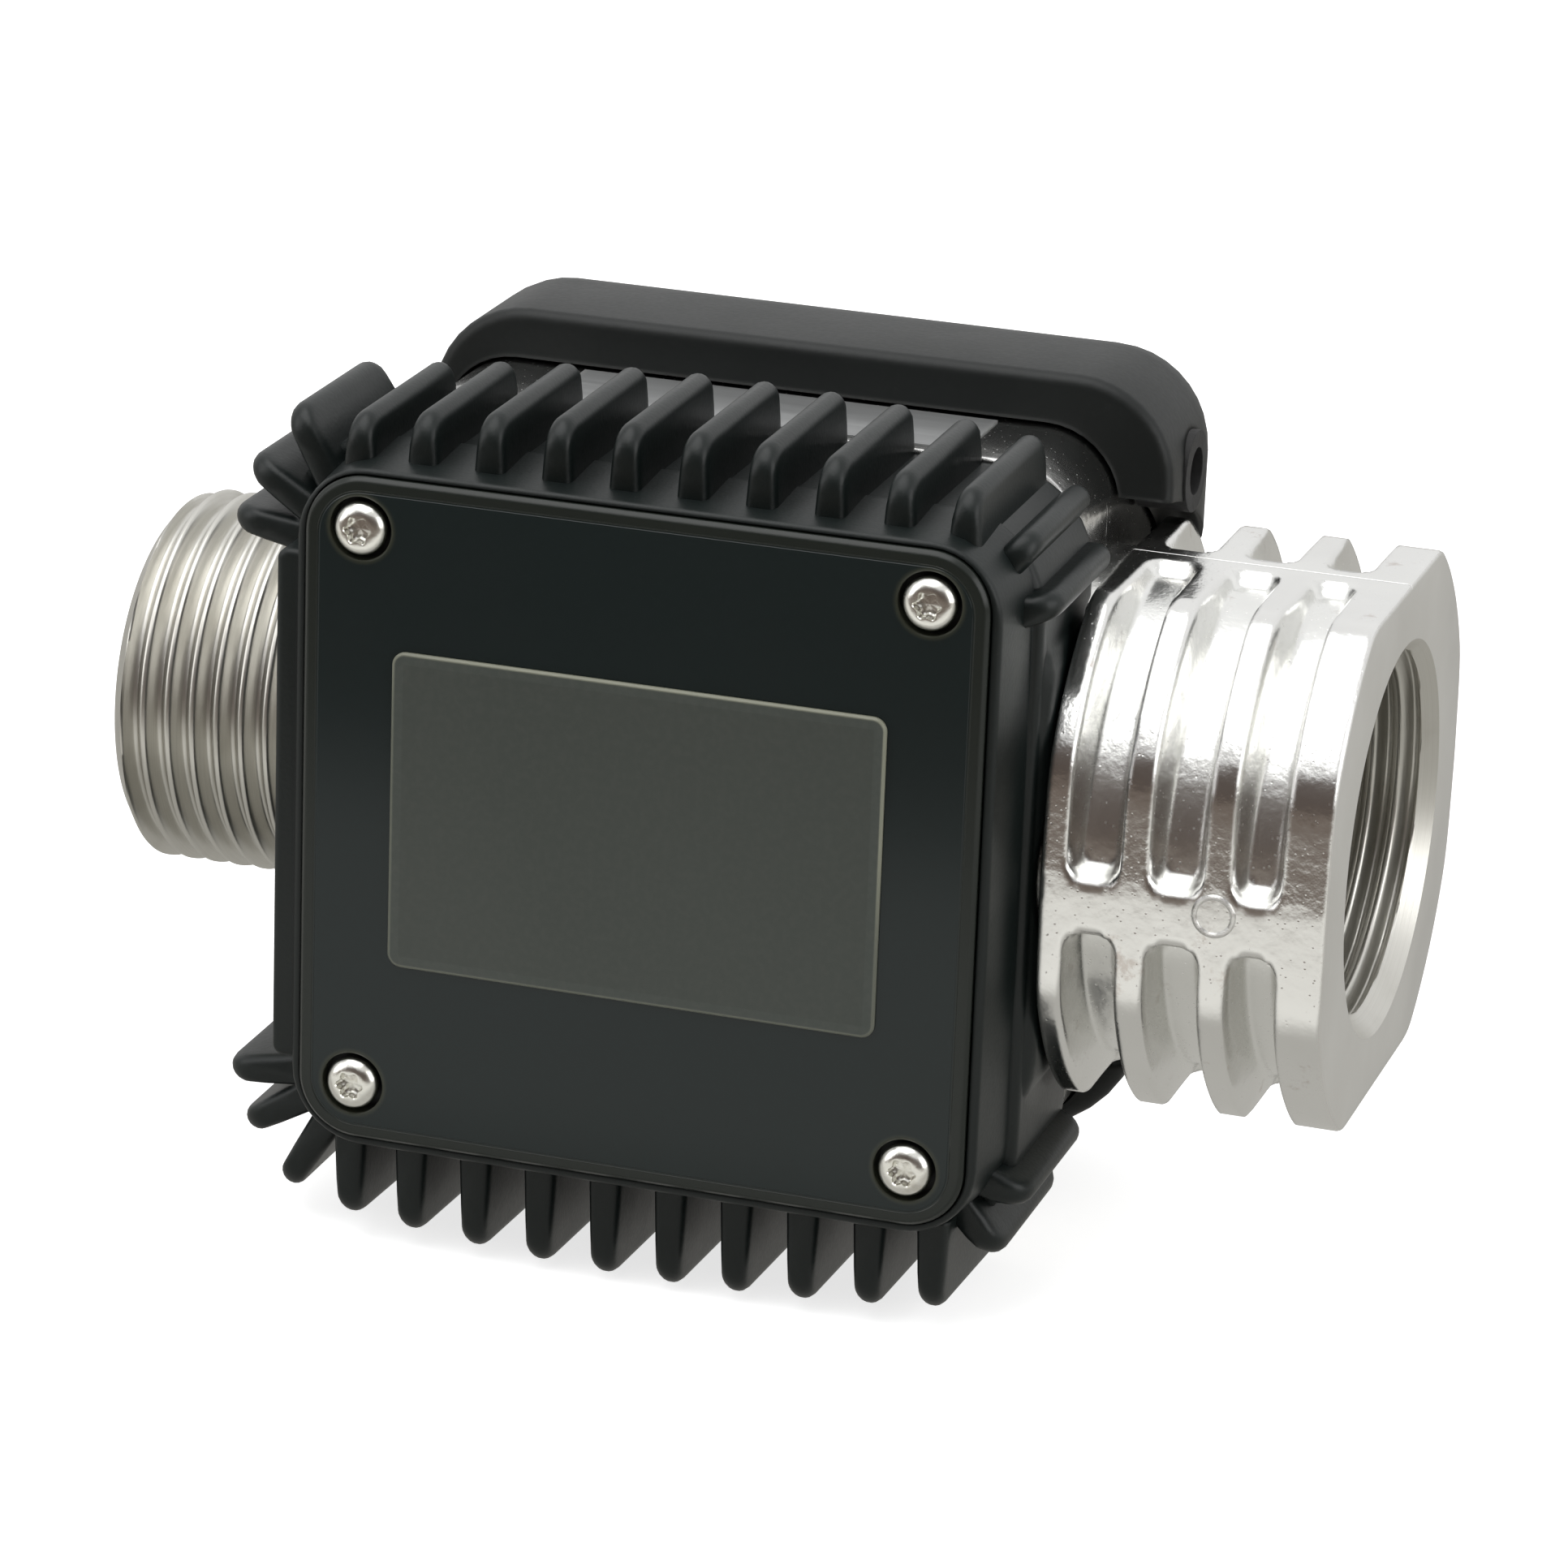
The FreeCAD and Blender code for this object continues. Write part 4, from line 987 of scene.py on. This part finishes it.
for name, colour in {"window_gasket": (0.012, 0.012, 0.012), "cover_gasket": (0.016, 0.016, 0.015),
                     "sleeve_seals": (0.010, 0.010, 0.011), "cable_gland": (0.014, 0.014, 0.014)}.items():
    paint(rubber(name + "_rubber", colour), name)
paint(moulding("natural_resin", (0.62, 0.59, 0.51), (0.50, 0.47, 0.39), 0.36), "measuring_sleeve")
paint(moulding("vane_resin", (0.58, 0.56, 0.49), (0.47, 0.45, 0.38), 0.40), "inlet_support", "outlet_support")
paint(moulding("rotor_resin", (0.80, 0.80, 0.77), (0.70, 0.70, 0.66), 0.32), "turbine_rotor")
paint(moulding("terminal_resin", (0.025, 0.20, 0.07), (0.015, 0.13, 0.045), 0.38), "terminal_block")
paint(lathe_metal("bush_brass", (0.78, 0.56, 0.25), (0.62, 0.42, 0.17), 0.24), "inlet_bush", "outlet_bush")
paint(lathe_metal("shaft_steel", (0.66, 0.66, 0.65), (0.52, 0.52, 0.52), 0.16), "rotor_shaft")
paint(lathe_metal("magnet_nickel", (0.68, 0.66, 0.60), (0.58, 0.56, 0.51), 0.18, "y"), "rotor_magnets")
paint(lathe_metal("blued_spring_steel", (0.13, 0.12, 0.12), (0.07, 0.065, 0.07), 0.30, "z"), "retaining_ring")
paint(zinc_material, "cover_screws", "rear_screws", "board_screws")
print("finishes so far:", len(bpy.data.materials))

# %% [markdown]
# ## Circuit board and reed switch
# A board is a lacquered sheet with copper tracks that show as slightly raised, lighter lines,
# and bare tinned pads. Straight tracks are just bands of the two coordinates. The reed switch
# is a thin glass tube with two flat blades inside, seen as a darker core with shiny ends.

# %% Board and reed finishes
board = new_finish("green_board")
x, _, z = board.place()
upright = (x * 1.3).wave().step(0.80, 0.95) * z.step(-16.0, -14.0)
tracks = upright.most((z * 1.1).wave().step(0.86, 0.97))
pads = board.grains(330.0).step(0.16, 0.12)
fibre = board.noise(2400.0, 2.0)
lacquer = board.blend(fibre, (0.006, 0.060, 0.024), (0.010, 0.085, 0.034))
lacquer = board.blend(tracks * 0.8, lacquer, (0.030, 0.150, 0.050))
lacquer = board.blend(pads, lacquer, (0.62, 0.60, 0.55))
paint(board.surface(Base_Color=lacquer, Metallic=pads * 0.9, Roughness=0.26 + 0.08 * fibre,
                    Normal=board.bump(tracks * 0.5 + pads + fibre * 0.2, 0.05)), "circuit_board")

reed = new_finish("reed_glass_and_leads")
x, _, z = reed.place()
ends = abs(x).step(6.7, 7.1)
blade = z.line(0.0, 0.35, 0.15) * (1 - ends)
tone = reed.blend(blade, (0.30, 0.42, 0.33), (0.10, 0.11, 0.10))
tone = reed.blend(ends, tone, (0.72, 0.71, 0.67))
paint(reed.surface(Base_Color=tone, Metallic=ends, Roughness=0.07 + 0.14 * reed.noise(600.0, 3.0),
                   Normal=reed.bump(reed.noise(300.0, 2.0), 0.02)), "reed_switch")
print("electronics painted")

# %% [markdown]
# ## Bare label on the body
# A thin silver film on top of the casting, left bare. Its surface is brushed along the flow
# axis, and its colour turns a little lighter towards both of its ends.

# %% Body label
sticker_low, sticker_high = [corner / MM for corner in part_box("body_label")]
sticker = new_finish("bare_silver_film")
x = sticker.place()[0]
brushed = sticker.noise(900.0, 3.0, 0.6, stretch=(0.06, 1.0, 1.0))
from_edge = abs(x - (sticker_low.x + sticker_high.x) / 2) - (sticker_high.x - sticker_low.x) / 2
silver = sticker.blend(brushed, (0.46, 0.47, 0.47), (0.66, 0.67, 0.67))
silver = sticker.blend(from_edge.step(-0.6, -0.1) * 0.4, silver, (0.80, 0.80, 0.79))
paint(sticker.surface(Base_Color=silver, Metallic=0.75, Roughness=0.26 + 0.14 * brushed,
                      Normal=sticker.bump(brushed, 0.02)), "body_label")
print("body label painted")

# %% [markdown]
# ## Studio
# Bright metal shows the room, so the room decides how it looks. A tent surrounds the meter,
# white behind it and grey elsewhere, with a brownish dark part low in front, where a real studio
# has its open side. Diffuse light is gentler than what the metal mirrors, and the camera sees
# plain white behind the meter.

# %% Room light
DIFFUSE_LEVEL = 0.50
room_world = bpy.data.worlds.new("studio_room")
scene.world = room_world
room = Finish(room_world)
way = room.node("ShaderNodeTexCoord", output=0)
toward_y, toward_z = [room.node("ShaderNodeSeparateXYZ", None, {0: way}, output=i) for i in (1, 2)]
open_side = toward_y.step(-0.25, -0.75) * toward_z.step(0.68, 0.50)
tent_stops = [(0.0, (0.50, 0.49, 0.47)), (0.50, (0.42, 0.41, 0.39)), (0.66, (0.58, 0.58, 0.57)),
              (0.74, (0.92, 0.92, 0.92)), (1.0, (0.72, 0.72, 0.72))]
tent = room.node("ShaderNodeValToRGB", {"stops": tent_stops}, {"Fac": toward_z * 0.5 + 0.5})
tent = room.blend(toward_y.step(-0.1, 0.5) * 0.8, tent, (1.0, 1.0, 1.0))
tent = room.blend(open_side * 0.92, tent, (0.070, 0.048, 0.038))
camera_ray = room.node("ShaderNodeLightPath", output=0)
glossy_ray = room.node("ShaderNodeLightPath", output=3)
level = camera_ray.most(glossy_ray) * (1.0 - DIFFUSE_LEVEL) + DIFFUSE_LEVEL
sky = room.node("ShaderNodeBackground", None, {"Color": room.blend(camera_ray, tent, (1.0, 1.0, 1.0)),
                                               "Strength": level})
room.node("ShaderNodeOutputWorld", None, {"Surface": sky})
print("room level for diffuse light", DIFFUSE_LEVEL)

# %% [markdown]
# ## Soft boxes
# Three square lamps round off the light: one above, one from the left and a weaker one from the
# right. Large lamps keep the shadow soft, and they give the black covers their long highlights.

# %% Lamps


def soft_light(name, place, size, power):
    """Square area light that points at the meter; place and size in millimetres."""
    lamp = bpy.data.lights.new(name, "AREA")
    lamp.shape = "SQUARE"
    lamp.size = size * MM
    lamp.energy = power
    holder = bpy.data.objects.new(name, lamp)
    holder.location = Vector(place) * MM
    holder.rotation_euler = (-Vector(place)).to_track_quat("-Z", "Y").to_euler()
    scene.collection.objects.link(holder)
    return holder


soft_light("top_box", (-100, -150, 600), 600, 2.6)
soft_light("side_box", (-600, -400, 250), 500, 1.4)
soft_light("right_box", (600, -150, 220), 400, 1.2)
print("lamps:", len(bpy.data.lights))

# %% [markdown]
# ## Paper floor
# The camera sees a pale sheet with a faint shadow. In the metal the sheet ends a hand's width in
# front of the meter, where a darker table begins, and right under the meter its glow is dimmer,
# a painted shadow of the meter. A second sheet could do that too, but the shader already knows which ray asks.

# %% Paper floor
FLOOR_HALF = 4
floor_z = cad_low[2]
floor_mesh = bpy.data.meshes.new("pale_floor")
floor_mesh.from_pydata([(side_x * FLOOR_HALF, side_y * FLOOR_HALF, floor_z)
                        for side_x, side_y in ((-1, -1), (1, -1), (1, 1), (-1, 1))], [], [(0, 1, 2, 3)])
floor = bpy.data.objects.new("pale_floor", floor_mesh)
scene.collection.objects.link(floor)
ground = new_finish("floor_paper")
seen = ground.node("ShaderNodeLightPath", output=0)
mirrored = ground.node("ShaderNodeLightPath", output=3)
y = ground.place()[1]
BLACK = (0.0, 0.0, 0.0)
# painted shadow: in the metal the floor glows dimmer right under the meter, where the meter shades it
in_metal_with_painted_shadow = ground.blend(y.step(-75.0, -45.0), (0.93, 0.92, 0.875), (0.50, 0.49, 0.46))
in_metal_with_painted_shadow = ground.blend(y.step(-134.0, -176.0), in_metal_with_painted_shadow, (0.175, 0.142, 0.120))
glow = ground.blend(mirrored, ground.blend(seen, BLACK, (0.74, 0.74, 0.74)), in_metal_with_painted_shadow)
paper = ground.blend(mirrored, (0.90, 0.90, 0.90), BLACK)
floor_mesh.materials.append(ground.surface(Base_Color=paper, Roughness=0.9, Specular_IOR_Level=0.0,
                                           Emission_Color=glow, Emission_Strength=1.0))
scene.view_settings.view_transform = "Standard"
print("floor at", round(floor_z / MM, 1), "mm")

# %% [markdown]
# ## Sizes
# The box of the solids was taken at the start.
